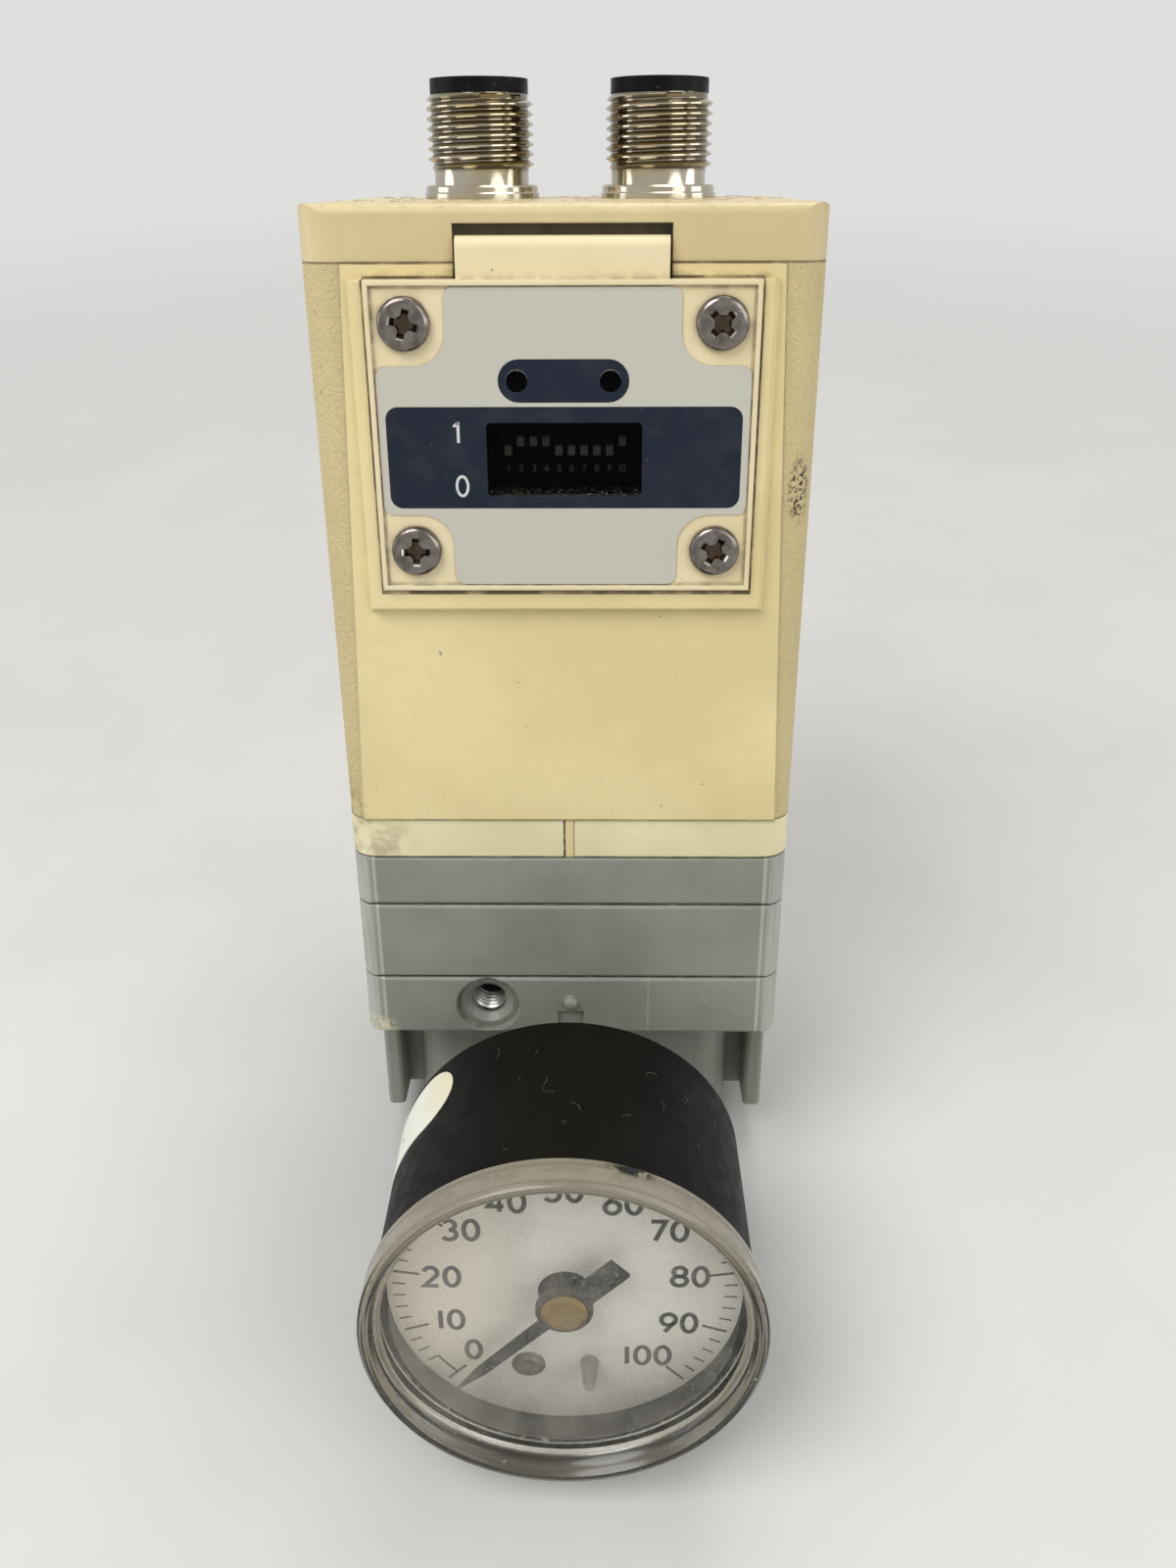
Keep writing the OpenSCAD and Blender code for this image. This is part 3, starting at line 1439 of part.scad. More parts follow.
module movement_frame() {
  post_z = dial_z - dial_t;
  color([0.8, 0.68, 0.36])
    at_gauge()
      difference() {
        union() {
          for (z = [frame_low, frame_high])
            translate([0, 0, z])
              linear_extrude(frame_t)
                frame_outline();
          for (x = [-1, 1])
            translate([x * (frame_w / 2 - pillar_inset), frame_over - pillar_drop, frame_low + frame_t / 2])
              cylinder(r = pillar_r, h = frame_gap + frame_t);
          translate([rivet_at.x, rivet_at.y, frame_low + frame_t / 2])
            cylinder(r = dial_post_r, h = post_z - frame_low - frame_t / 2);
        }
        for (y = [0, -pivot_d])
          translate([0, y, frame_low - eps])
            cylinder(r = shaft_r + run_play, h = frame_gap + 3 * frame_t);
        translate([rivet_at.x, rivet_at.y, post_z - rivet_len - 2 * play])
          cylinder(r = rivet_r + run_play, h = 2 * rivet_len);
      }
}

module sector_gear() {
  first = 90 - 360 / sector_teeth * 9.5;
  color([0.78, 0.66, 0.34])
    at_gauge()
      translate([0, -pivot_d, 0]) {
        translate([0, 0, frame_low + 0.1])
          cylinder(r = shaft_r, h = frame_gap + 2 * frame_t - 0.2);
        translate([0, 0, sector_z])
          linear_extrude(sector_t)
            difference() {
              union() {
                circle(sector_hub_r);
                difference() {
                  circle(sector_r - 1.3 * gear_m);
                  rotate(first - 3.5)
                    translate([-2 * sector_r, -4 * sector_r])
                      square([4 * sector_r, 4 * sector_r]);
                  rotate(96.75 + 1.6)
                    translate([-2 * sector_r, 0])
                      square([4 * sector_r, 4 * sector_r]);
                }
                for (i = [0 : 10])
                  rotate(first + 360 / sector_teeth * i)
                    tooth(sector_r);
                rotate(tail_dir)
                  translate([0, -tail_arm_w / 2])
                    square([tail_arm, tail_arm_w]);
                rotate(tail_dir)
                  translate([tail_arm, 0])
                    circle(eye_r);
              }
              rotate(tail_dir)
                translate([tail_arm, 0])
                  circle(link_pin_r + run_play);
            }
      }
}

module movement_link() {
  reach = [tip_at.x - tail_at.x, tip_at.y - tail_at.y];
  length = norm(reach);
  turn = atan2(reach.y, reach.x);
  color([0.7, 0.7, 0.7])
    at_gauge()
      translate([tail_at.x, tail_at.y, 0]) {
        translate([0, 0, link_z])
          rotate(turn)
            linear_extrude(link_t) {
              translate([0, -link_w / 2])
                square([length, link_w]);
              for (x = [0, length])
                translate([x, 0])
                  circle(link_w / 2);
            }
        translate([0, 0, sector_z - 0.3])
          cylinder(r = link_pin_r, h = link_z - sector_z + 0.5);
      }
}

port_body();
mid_body();
pilot_body();
base_plate();
cover();
cap();
switch_cover();
front_label();
window_pane();
indicator_lenses();
cover_screws();
stack_screws();
connector_shell(-1);  // left_connector_shell
connector_insert(-1);  // left_connector_insert
connector_pins(-1);  // left_connector_pins
connector_shell(1);  // right_connector_shell
connector_insert(1);  // right_connector_insert
connector_pins(1);  // right_connector_pins
connector_nuts();
control_board();
switch_board();
dip_switch_body();
dip_lever(0);  // dip_lever_1
dip_lever(1);  // dip_lever_2
dip_lever(2);  // dip_lever_3
dip_lever(3);  // dip_lever_4
dip_lever(4);  // dip_lever_5
dip_lever(5);  // dip_lever_6
dip_lever(6);  // dip_lever_7
dip_lever(7);  // dip_lever_8
dip_lever(8);  // dip_lever_9
dip_lever(9);  // dip_lever_10
status_leds();
solenoid(-1);  // supply_solenoid
plunger(-1);  // supply_plunger
solenoid(1);  // exhaust_solenoid
plunger(1);  // exhaust_plunger
pressure_sensor();
diaphragm(pilot_disc_r, pilot_z);  // pilot_diaphragm
diaphragm(feedback_disc_r, feedback_z);  // feedback_diaphragm
diaphragm_hub();
valve_poppet();
valve_spring();
valve_guide();
guide_seal();
gauge_stem();
gauge_case();
gauge_lens();
gauge_dial();
dial_rivet();
stop_pin();
gauge_pointer();
pointer_hub();
pinion_shaft();
bourdon_tube();
movement_frame();
sector_gear();
movement_link();
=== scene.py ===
"""Looks of the electro-pneumatic regulator: finishes, print, threads, wear, floor, light and camera."""
import random
from math import cos, degrees, dist, hypot, pi, radians, sin

import bmesh
import bpy
from mathutils import Matrix, Vector


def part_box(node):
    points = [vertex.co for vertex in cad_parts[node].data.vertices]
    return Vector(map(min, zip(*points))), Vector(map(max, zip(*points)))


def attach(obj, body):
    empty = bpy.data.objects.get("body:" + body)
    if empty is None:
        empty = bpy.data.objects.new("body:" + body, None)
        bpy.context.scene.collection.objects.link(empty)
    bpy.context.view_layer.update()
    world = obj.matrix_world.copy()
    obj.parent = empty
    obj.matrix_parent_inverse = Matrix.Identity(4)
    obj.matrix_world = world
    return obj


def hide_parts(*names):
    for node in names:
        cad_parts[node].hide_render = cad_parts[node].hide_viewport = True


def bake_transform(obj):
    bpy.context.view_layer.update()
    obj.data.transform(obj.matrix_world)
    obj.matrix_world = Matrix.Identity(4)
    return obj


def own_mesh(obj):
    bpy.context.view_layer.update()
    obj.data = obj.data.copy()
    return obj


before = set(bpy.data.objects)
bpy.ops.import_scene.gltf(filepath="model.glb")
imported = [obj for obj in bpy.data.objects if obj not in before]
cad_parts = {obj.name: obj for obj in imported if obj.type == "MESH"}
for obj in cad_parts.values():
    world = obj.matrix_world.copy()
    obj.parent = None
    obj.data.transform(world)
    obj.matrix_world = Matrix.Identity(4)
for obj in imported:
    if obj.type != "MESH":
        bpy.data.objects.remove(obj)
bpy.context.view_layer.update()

MM = 0.001


def box_mm(node):
    """Lowest and highest corner of a node, in millimetres."""
    low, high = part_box(node)
    return Vector(low) / MM, Vector(high) / MM


def srgb(red, green, blue):
    """Linear colour of an sRGB triple from 0 to 255."""
    def linear(value):
        share = value / 255
        return share / 12.92 if share <= 0.04045 else ((share + 0.055) / 1.055) ** 2.4
    return (linear(red), linear(green), linear(blue), 1.0)


# Colours of the object
CREAM = srgb(231, 215, 163)
CREAM_SHADE = srgb(219, 202, 149)
CAP = srgb(214, 196, 152)
CAP_SHADE = srgb(203, 185, 140)
PLATE = srgb(232, 217, 179)
PLATE_SHADE = srgb(226, 210, 168)
BAND = srgb(233, 225, 184)
BAND_SHADE = srgb(221, 212, 170)
GRAY = srgb(143, 145, 135)
GRAY_SHADE = srgb(130, 132, 122)
FILM = srgb(194, 192, 179)
NAVY = srgb(25, 33, 47)
# Dirt colour, also used by the crevice mask as painted shade in corners
DIRT_AND_SHADE = srgb(74, 60, 38)
SOOT = srgb(38, 32, 24)
BARE_METAL = srgb(196, 194, 188)
NICKEL = srgb(184, 178, 164)
NICKEL_TINT = srgb(172, 160, 132)
BRASS = srgb(176, 142, 82)
BRASS_SHADE = srgb(120, 92, 50)
STEEL = srgb(176, 176, 174)
DARK_STEEL = srgb(112, 106, 100)
ALUMINIUM = srgb(188, 190, 190)
BLACK = srgb(11, 11, 12)
BLACK_PAINT = srgb(15, 15, 13)
RUBBER = srgb(26, 26, 26)
DIAL_WHITE = srgb(228, 226, 218)
INK = srgb(58, 57, 55)
DUST = srgb(216, 212, 200)
BOARD = srgb(34, 92, 62)
WHITE = srgb(236, 236, 230)
GOLD = srgb(212, 172, 92)

# Levels and sizes of the pieces, in millimetres
DIAL_LOW, DIAL_HIGH = box_mm("gauge_dial")
CASE_LOW, CASE_HIGH = box_mm("gauge_case")
PLATE_LOW, PLATE_HIGH = box_mm("switch_cover")
PANE_LOW, PANE_HIGH = box_mm("window_pane")
SHELL_LOW, SHELL_HIGH = box_mm("right_connector_shell")
SCREW_LOW, SCREW_HIGH = box_mm("cover_screws")
GAUGE_Z = (DIAL_LOW.z + DIAL_HIGH.z) / 2
DIAL_FRONT = DIAL_LOW.y
CASE_R = (CASE_HIGH.x - CASE_LOW.x) / 2
LABEL_FRONT = box_mm("front_label")[0].y
BANK_FRONT = box_mm("dip_switch_body")[0].y
CAP_TOP = box_mm("cap")[1].z
SHELL_X = (SHELL_LOW.x + SHELL_HIGH.x) / 2
SHELL_Y = (SHELL_LOW.y + SHELL_HIGH.y) / 2
SCREW_R = 2.5
SCREW_FRONT = SCREW_LOW.y
SCREW_X = SCREW_HIGH.x - SCREW_R
SCREW_Z = (SCREW_LOW.z + SCREW_HIGH.z) / 2
SCREW_RISE = SCREW_HIGH.z - SCREW_R - SCREW_Z
COVER_TOP = box_mm("cover")[1].z
PLATE_TOP = COVER_TOP - 1.35
NOTCH_TOP = PLATE_HIGH.z + 1.0
NOTCH_HALF = 10.25
BAND_FOOT = box_mm("base_plate")[0].z
BAND_H = 4.8
COVER_FOOT = BAND_FOOT + BAND_H
PORT_TOP = box_mm("mid_body")[0].z
MID_TOP = box_mm("pilot_body")[0].z
BODY_HALF = 25.0
EDGE_R = 0.3
PARTING_X = 9.3
PILOT_X, PILOT_Z = -10.0, 22.5

# Depths, distances from the middle and heights between which a mark or tone fades
PANEL_BACK = (-25.12, -25.02)
SIDE_AGED = (-23.0, -10.0)
GAP_DEPTH = (-24.0, -24.6)
NOTCH_FRONT, NOTCH_BACK = (-24.92, -24.5), (-22.6, -22.2)
PLATE_RECESS, PLATE_RIM = (-26.75, -26.68), (-26.92, -26.8)
CASE_LIP = (-59.2, -60.0)
BEND_OUTER, BEND_INNER, BEND_START = (23.4, 24.2), (22.7, 23.5), (22.35, 22.6, 0.15)
PANE_DUST = (85.6, 84.5)
LENS_RIM_Y, LENS_WINDOW_Y = (-59.8, -60.1), (-60.2, -60.4)

# Radii on the gauge lens, with the softness of each line; the pale line is a painted highlight
LENS_RIM_R = (18.1, 18.35)
LENS_DARK_LINES = ((18.4, 18.55, 0.08), (19.35, 19.45, 0.06))
LENS_HIGHLIGHT_LINE = (18.75, 18.9, 0.08)
LENS_HEAD = (GAUGE_Z + 4, GAUGE_Z + 15)

# Single marks: place, and reach along each axis
SCUFF = (23.4, -24.4, 84.6), (1.5, 2.0, 4.4)
SMEAR = (-24.4, -24.0, 97), (1.2, 2.0, 18)
SMUDGE = (-24.6, -24.0, 49.5), (3, 3, 5)
BAND_STAIN = (-24.5, -24.5, 44.6), (9, 5, 5)
SCRATCHES = (18.6, -25, 23.6), (4.5, 3, 4.0)
CHIPPED_CORNER = (-23.6, -24.8, 19.3), (3.2, 2.4, 2.0)
PARTING_LINE = (PARTING_X, -25, PILOT_Z), (2, 4, 6.2)
# The pilot hole's mark is painted shade inside it
PILOT_HOLE = (PILOT_X, -14.0, PILOT_Z), (3.2, 7.0, 3.2)
LENS_CHIP = (6.6, -60.6, 28.6), (4.6, 1.0, 1.5)
STICKER_AGED = (-13.5, -42, 24.5), (6, 6, 5)


def feed(tree, socket, value):
    """Gives a socket a link or a plain value."""
    if isinstance(value, bpy.types.NodeSocket):
        tree.links.new(value, socket)
    else:
        socket.default_value = value


def add_node(tree, kind, feeds=None, **settings):
    """Shader node with its settings, and a link or a value for each socket in feeds."""
    made = tree.nodes.new("ShaderNode" + kind)
    for key, value in settings.items():
        setattr(made, key, value)
    for key, value in (feeds or {}).items():
        feed(tree, made.inputs[key], value)
    return made


class Finish:
    """Node graph of one procedural material, with its places in millimetres and its tone so far."""

    def __init__(self, name):
        self.material = bpy.data.materials.new(name)
        self.material.use_nodes = True
        self.tree = self.material.node_tree
        self.tree.nodes.clear()
        self.tone = None
        self.shader = self.add("BsdfPrincipled")
        self.out = self.add("OutputMaterial", {"Surface": self.shader.outputs[0]})
        coords = self.add("TexCoord").outputs["Object"]
        self.place = self.add("VectorMath", {0: coords, "Scale": 1 / MM}, operation="SCALE").outputs[0]

    def add(self, kind, feeds=None, **settings):
        return add_node(self.tree, kind, feeds, **settings)

    def set(self, **values):
        for key, value in values.items():
            feed(self.tree, self.shader.inputs[key.replace("_", " ")], value)

    def done(self, **values):
        """Material with its last values and the tone as its colour."""
        self.set(Base_Color=self.tone, **values)
        return self.material

    def math(self, operation, first, second=0.0):
        return self.add("Math", {0: first, 1: second}, operation=operation).outputs[0]

    def times(self, *values):
        total = values[0]
        for value in values[1:]:
            total = self.math("MULTIPLY", total, value)
        return total

    def off(self, value, level):
        """Distance of a value from a level."""
        return self.math("ABSOLUTE", self.math("SUBTRACT", value, level))

    def length(self, first, second):
        """Length across two sides at a right angle."""
        first, second = (self.math("POWER", side, 2.0) for side in (first, second))
        return self.math("SQRT", self.math("ADD", first, second))

    def spread(self, value, low, high, to_low=0.0, to_high=1.0):
        feeds = dict(enumerate((value, low, high, to_low, to_high)))
        return self.add("MapRange", feeds, interpolation_type="SMOOTHSTEP").outputs[0]

    def fall(self, value, low, high):
        """One up to low, falling to zero at high."""
        return self.spread(value, low, high, 1.0, 0.0)

    def between(self, value, low, high, soft):
        """One from low to high, falling to zero within the soft distance outside."""
        return self.times(self.spread(value, low - soft, low), self.fall(value, high, high + soft))

    def mix(self, factor, first, second):
        return self.add("Mix", {0: factor, 6: first, 7: second}, data_type="RGBA").outputs[2]

    def stain(self, colour, *masks):
        """Puts a colour over the tone where all the masks are high."""
        self.tone = self.mix(self.times(*masks), self.tone, colour)

    def axis(self, index):
        return self.add("SeparateXYZ", {0: self.place}).outputs[index]

    def along(self, index, *span):
        """Place along an axis, spread over the span."""
        return self.spread(self.axis(index), *span)

    def stretched(self, turn, scale):
        """Places turned by the angles turn, in degrees, then scaled along each axis."""
        feeds = {"Vector": self.place, "Rotation": [radians(angle) for angle in turn], "Scale": scale}
        return self.add("Mapping", feeds, vector_type="TEXTURE").outputs[0]

    def noise(self, scale, detail=3.0, rough=0.55, place=None):
        feeds = {"Vector": place or self.place, "Scale": scale, "Detail": detail, "Roughness": rough}
        return self.add("TexNoise", feeds).outputs[0]

    def blots(self, scale, detail, *span):
        """Noise, spread over the span."""
        return self.spread(self.noise(scale, detail), *span)

    def specks(self, scale, low, high):
        """Scattered small spots, few and sharp."""
        return self.spread(self.noise(scale, 1.0, 0.4), low, high)

    def patches(self, scale, first, second, detail=4, top=0.7):
        """Starts the tone as two colours in soft patches."""
        self.tone = self.mix(self.blots(scale, detail, 0.35, top), first, second)

    def sheen(self, scale, low, high, detail=4, top=0.7):
        """Roughness that drifts in patches from low to high."""
        return self.blots(scale, detail, 0.3, top, low, high)

    def near(self, point, reach):
        """One at the point, falling to zero at the reach along each axis."""
        away = self.add("VectorMath", {0: self.place, 1: point}, operation="SUBTRACT").outputs[0]
        shrunk = self.add("VectorMath", {0: away, 1: reach}, operation="DIVIDE").outputs[0]
        return self.fall(self.add("VectorMath", {0: shrunk}, operation="LENGTH").outputs["Value"], 0.35, 1.0)

    def crevice(self, reach):
        """Zero on open faces, towards one in corners narrower than the reach."""
        open_share = self.add("AmbientOcclusion", {"Distance": reach * MM}, samples=8).outputs["AO"]
        return self.math("SUBTRACT", 1.0, open_share)

    def rounded(self, radius, samples=8):
        """Normal with the edges softened over the radius."""
        return self.add("Bevel", {"Radius": radius * MM}, samples=samples).outputs[0]

    def edge(self, radius):
        """Towards one along outer and inner edges of the radius."""
        feeds = {0: self.rounded(radius, 6), 1: self.add("NewGeometry").outputs["Normal"]}
        return self.spread(self.add("VectorMath", feeds, operation="DOT_PRODUCT").outputs["Value"], 0.99, 0.8)

    def beyond(self, centre, half):
        """Distance in the front view from a rectangle's outline: below zero inside it."""
        aside = self.math("SUBTRACT", self.off(self.axis(0), centre[0]), half[0])
        above = self.math("SUBTRACT", self.off(self.axis(2), centre[1]), half[1])
        return self.math("MAXIMUM", aside, above)

    def seams(self, levels, half):
        """Lines round the body at the heights where two pieces meet, broken by noise."""
        total = 0.0
        for level in levels:
            away = self.off(self.axis(2), level)
            total = self.math("MAXIMUM", total, self.fall(away, half * 0.55, half))
        return self.times(total, self.blots(0.5, 4, 0.25, 0.6, 0.45, 1.0))

    def bump(self, height, depth, under=None):
        feeds = {"Distance": depth * MM, "Height": height}
        if under is not None:
            feeds["Normal"] = under
        return self.add("Bump", feeds).outputs[0]


def dirty(f, reach, amount):
    """Grime and painted shade in the corners of a surface, placed by ambient occlusion and broken up by
    noise.
    """
    f.stain(DIRT_AND_SHADE, f.spread(f.crevice(reach), 0.16, 0.62), f.blots(0.7, 4, 0.3, 0.68), amount)


def moulded(name, tones, grain, rough=0.42, grime_and_shade=0.7, seams=()):
    """Moulded plastic: slow colour drift, fine grain, grime and painted shade in corners, and stray specks.
    """
    base, shade = tones
    f = Finish(name)
    f.patches(0.05, base, shade, 3, 0.65)
    f.stain(shade, f.blots(1.1, 4, 0.45, 0.8, 0.0, 0.4))
    dirty(f, 1.5, grime_and_shade)
    f.stain(SOOT, f.specks(1.6, 0.79, 0.83), 0.55)
    if seams:
        f.stain(DIRT_AND_SHADE, f.seams(seams, 0.16), 0.75)
    f.set(Specular_IOR_Level=0.4, Roughness=f.sheen(0.6, rough - 0.06, rough + 0.1, top=0.75))
    f.set(Normal=f.bump(f.noise(3.2, 2, 0.6), grain, f.rounded(EDGE_R)))
    return f


def notch_shade(f, low, high):
    """Painted shade in the slot behind the tongue."""
    inside = f.beyond((0.0, (low + high) / 2), (NOTCH_HALF, (high - low) / 2))
    f.stain(srgb(64, 53, 34), f.fall(inside, 0.0, 0.12), f.along(1, *NOTCH_FRONT),
            f.fall(f.axis(1), *NOTCH_BACK), 0.9)


def plate_gap(f, drop=0.0):
    """Distance in the front view from the switch cover's outline, its foot let down by twice the drop, so
    that a painted shadow reaches lower under the cover.
    """
    middle = (PLATE_LOW.z + PLATE_TOP) / 2 - drop
    return f.beyond((0.0, middle), (PLATE_HIGH.x, PLATE_TOP - middle))


def cover_finish():
    """Cover: smooth front panel, spark-eroded grain on the corners and sides, scuffs on its front corners, a
    painted shadow in the gap round the switch cover, and painted shade in the slot behind the tongue.
    """
    f = moulded("cover_plastic", (CREAM, CREAM_SHADE), 0.012, seams=(COVER_TOP, COVER_FOOT))
    rib = f.fall(f.axis(2), COVER_FOOT - 0.2, COVER_FOOT - 0.05)
    side = f.times(f.along(1, *PANEL_BACK), f.math("SUBTRACT", 1.0, rib))
    mottle = f.spread(f.noise(3.1, 4, 0.6), 0.38, 0.7)
    aged = f.along(1, *SIDE_AGED, 0.5, 0.12)
    f.stain(srgb(184, 168, 126), side, aged)
    f.stain(srgb(166, 148, 106), side, mottle, 0.26)
    streak = f.noise(1.0, 4, 0.6, f.stretched((0, 4, 0), (0.16, 1, 9)))
    f.stain(PLATE, f.spread(streak, 0.68, 0.76), 0.35)
    # Painted shadow of the switch cover in the gap round it, reaching lower under its foot.
    gap = f.between(plate_gap(f, 0.15), -0.5, 0.2, 0.12)
    f.stain(srgb(66, 52, 30), gap, f.blots(0.3, 4, 0.3, 0.6, 0.35, 1.0), f.along(1, *GAP_DEPTH), 0.9)
    f.stain(SOOT, f.near(*SCUFF), f.blots(2.2, 4, 0.46, 0.57))
    f.stain(SOOT, f.near(*SMEAR), f.blots(1.2, 4, 0.62, 0.7), 0.6)
    f.stain(SOOT, f.near(*SMUDGE), f.blots(0.9, 5, 0.4, 0.7), 0.4)
    f.stain(SOOT, rib, f.fall(f.axis(0), -0.42, -0.36), f.blots(0.9, 4, 0.34, 0.5))
    notch_shade(f, PLATE_TOP - 0.8, COVER_TOP + 1)
    grain = f.times(f.noise(2.6, 3, 0.65), f.spread(side, 0, 1, 0.12, 1.0))
    f.set(Normal=f.bump(grain, 0.24, f.rounded(EDGE_R)))
    return f.done(Roughness=f.spread(side, 0, 1, 0.4, 0.62))


def cap_finish():
    """Cap: satin tan moulding with dust on its top, and painted shade in the slot behind the tongue."""
    f = moulded("cap_plastic", (CAP, CAP_SHADE), 0.01, rough=0.38, seams=(COVER_TOP,))
    top = f.along(2, CAP_TOP - 0.8, CAP_TOP - 0.1)
    f.stain(srgb(150, 134, 104), top, f.spread(f.noise(0.9, 6, 0.75), 0.46, 0.72), 0.5)
    f.stain(SOOT, f.blots(3.4, 2, 0.71, 0.77), top, 0.5)
    notch_shade(f, COVER_TOP - 1, NOTCH_TOP)
    return f.done()


def plate_finish():
    """Switch cover: paler moulding, with painted shade lines inside and outside its rim."""
    f = moulded("plate_plastic", (PLATE, PLATE_SHADE), 0.006, rough=0.36, grime_and_shade=0.6)
    gap = plate_gap(f)
    patch = f.blots(0.35, 4, 0.3, 0.62, 0.25, 1.0)
    # Painted shade: a thin line on the recessed floor inside the rim, and a darker line along the rim's outer
    # edge.
    corner = f.times(f.between(gap, -0.78, -0.52, 0.08), f.along(1, *PLATE_RECESS), patch)
    outside = f.times(f.spread(gap, -0.1, -0.02), f.along(1, *PLATE_RIM), patch,
                      f.fall(f.axis(2), PLATE_TOP - 0.12, PLATE_TOP - 0.05))
    grime_and_shade = f.math("MAXIMUM", f.times(corner, 0.3), f.times(outside, 0.85))
    f.stain(srgb(74, 58, 34), grime_and_shade)
    return f.done()


def band_finish():
    """Band under the cover: rougher moulding, stained at its left end."""
    f = moulded("band_plastic", (BAND, BAND_SHADE), 0.03, 0.5, grime_and_shade=0.8, seams=(COVER_FOOT, BAND_FOOT))
    f.stain(srgb(110, 94, 62), f.near(*BAND_STAIN), f.blots(0.7, 5, 0.32, 0.7), 0.5)
    return f.done()


def cast_finish():
    """Painted castings: gray-green satin, rubbed edges, painted highlights down the rounded corners,
    scratches, one chipped corner, grime and painted shade in corners, dark seams, and painted shade in the
    pilot hole.
    """
    f = Finish("cast_paint")
    f.patches(0.06, GRAY, GRAY_SHADE, 3, 0.65)
    f.stain(GRAY_SHADE, f.blots(2.4, 4, 0.45, 0.85, 0.0, 0.45))
    dirty(f, 1.4, 0.6)
    f.stain(srgb(190, 191, 184), f.edge(0.35), f.blots(0.8, 4, 0.42, 0.66), 0.5)
    brushed = f.noise(1.0, 3, 0.6, f.stretched((0, 0, 0), (0.28, 0.28, 9)))
    f.stain(srgb(168, 170, 161), f.spread(brushed, 0.5, 0.75, 0.0, 0.1))
    outer, inner = (f.math(choice, f.math("ABSOLUTE", f.axis(0)), f.math("ABSOLUTE", f.axis(1)))
                    for choice in ("MAXIMUM", "MINIMUM"))
    # Painted highlights: a band on each rounded vertical corner and a thin line where the flat front turns
    # into it.
    bend = f.times(f.spread(outer, *BEND_OUTER), f.spread(inner, *BEND_INNER),
                   f.spread(brushed, 0.3, 0.62, 0.3, 0.75))
    start = f.times(f.between(inner, *BEND_START), f.spread(brushed, 0.3, 0.5, 0.2, 0.7))
    f.stain(srgb(182, 184, 175), f.math("MAXIMUM", bend, start))
    lines = f.noise(1.0, 2, 0.5, f.stretched((0, 52, 0), (6, 1, 0.17)))
    scratch = f.times(f.spread(lines, 0.62, 0.66), f.near(*SCRATCHES))
    f.stain(srgb(184, 186, 182), scratch, 0.55)
    chip = f.times(f.near(*CHIPPED_CORNER), f.blots(1.4, 4, 0.42, 0.48))
    f.stain(srgb(208, 200, 172), chip)
    line = f.times(f.fall(f.off(f.axis(0), PARTING_X), 0.08, 0.16), f.near(*PARTING_LINE))
    f.stain(srgb(176, 178, 170), line, 0.35)
    f.stain(srgb(40, 42, 36), f.seams((PORT_TOP, MID_TOP, BAND_FOOT), 0.14), 0.95)
    # Painted shade inside the pilot hole.
    f.stain(srgb(22, 22, 20), f.near(*PILOT_HOLE))
    height = f.math("ADD", f.times(f.noise(2.1, 4, 0.6), 0.6), f.times(line, 0.8))
    height = f.math("SUBTRACT", height, f.times(scratch, 0.5))
    f.set(Roughness=f.sheen(0.9, 0.34, 0.5))
    return f.done(Metallic=f.times(chip, 0.5), Normal=f.bump(height, 0.04, f.rounded(EDGE_R)))


def film_finish(name, base, rough, worn=0.05, shine=0.2):
    """Printed film: even tone, faint rubbed patches and a little dust."""
    f = Finish(name)
    f.tone = base
    f.stain(DUST, f.blots(0.35, 4, 0.45, 0.75, 0.0, worn))
    f.stain(DUST, f.specks(3.4, 0.79, 0.83), 0.4)
    f.set(Normal=f.bump(f.noise(1.6, 3), 0.004), Specular_IOR_Level=shine)
    return f.done(Roughness=f.sheen(0.5, rough - 0.05, rough + 0.1, 3))


def window_finish():
    """Smoked pane: mostly dark, with dust along its lower edge."""
    f = Finish("smoked_pane")
    low = f.along(2, *PANE_DUST)
    dust = f.times(f.spread(f.noise(4.2, 4, 0.7), 0.56, 0.7), f.spread(low, 0, 1, 0.06, 0.8))
    f.tone = f.mix(dust, srgb(3, 3, 4), DUST)
    f.set(Alpha=f.spread(dust, 0, 1, 0.54, 0.95))
    return f.done(Roughness=f.spread(dust, 0, 1, 0.16, 0.7), Specular_IOR_Level=0.03)


def metal_finish(name, base, shade, rough, stain=0.4):
    """Bare metal: two tones in patches, fine tool marks and dulled spots."""
    f = Finish(name)
    f.patches(0.35, base, shade)
    f.stain(srgb(60, 54, 44), f.spread(f.crevice(0.8), 0.2, 0.7), stain)
    f.set(Metallic=1.0, Normal=f.bump(f.noise(2.5, 3, 0.6), 0.004))
    return f.done(Roughness=f.sheen(1.3, rough - 0.08, rough + 0.14, top=0.75))


def shell_finish():
    """Nickelled shells: polished flanks, yellowish where the plating is thin, dark thread roots."""
    f = Finish("nickel_brass")
    f.patches(0.12, NICKEL, NICKEL_TINT, 2)
    aside = f.math("SUBTRACT", f.math("ABSOLUTE", f.axis(0)), SHELL_X)
    radius = f.length(aside, f.math("SUBTRACT", f.axis(1), SHELL_Y))
    thread = f.along(2, CAP_TOP + 2.6, CAP_TOP + 3.1)
    f.stain(srgb(88, 80, 66), thread, f.spread(radius, 5.75, 5.4), 0.6)
    turned = f.noise(6.0, 2, 0.5, f.stretched((0, 0, 0), (20, 20, 1)))
    f.set(Metallic=1.0, Normal=f.bump(turned, 0.0015))
    return f.done(Roughness=f.sheen(0.9, 0.1, 0.18, top=0.75))


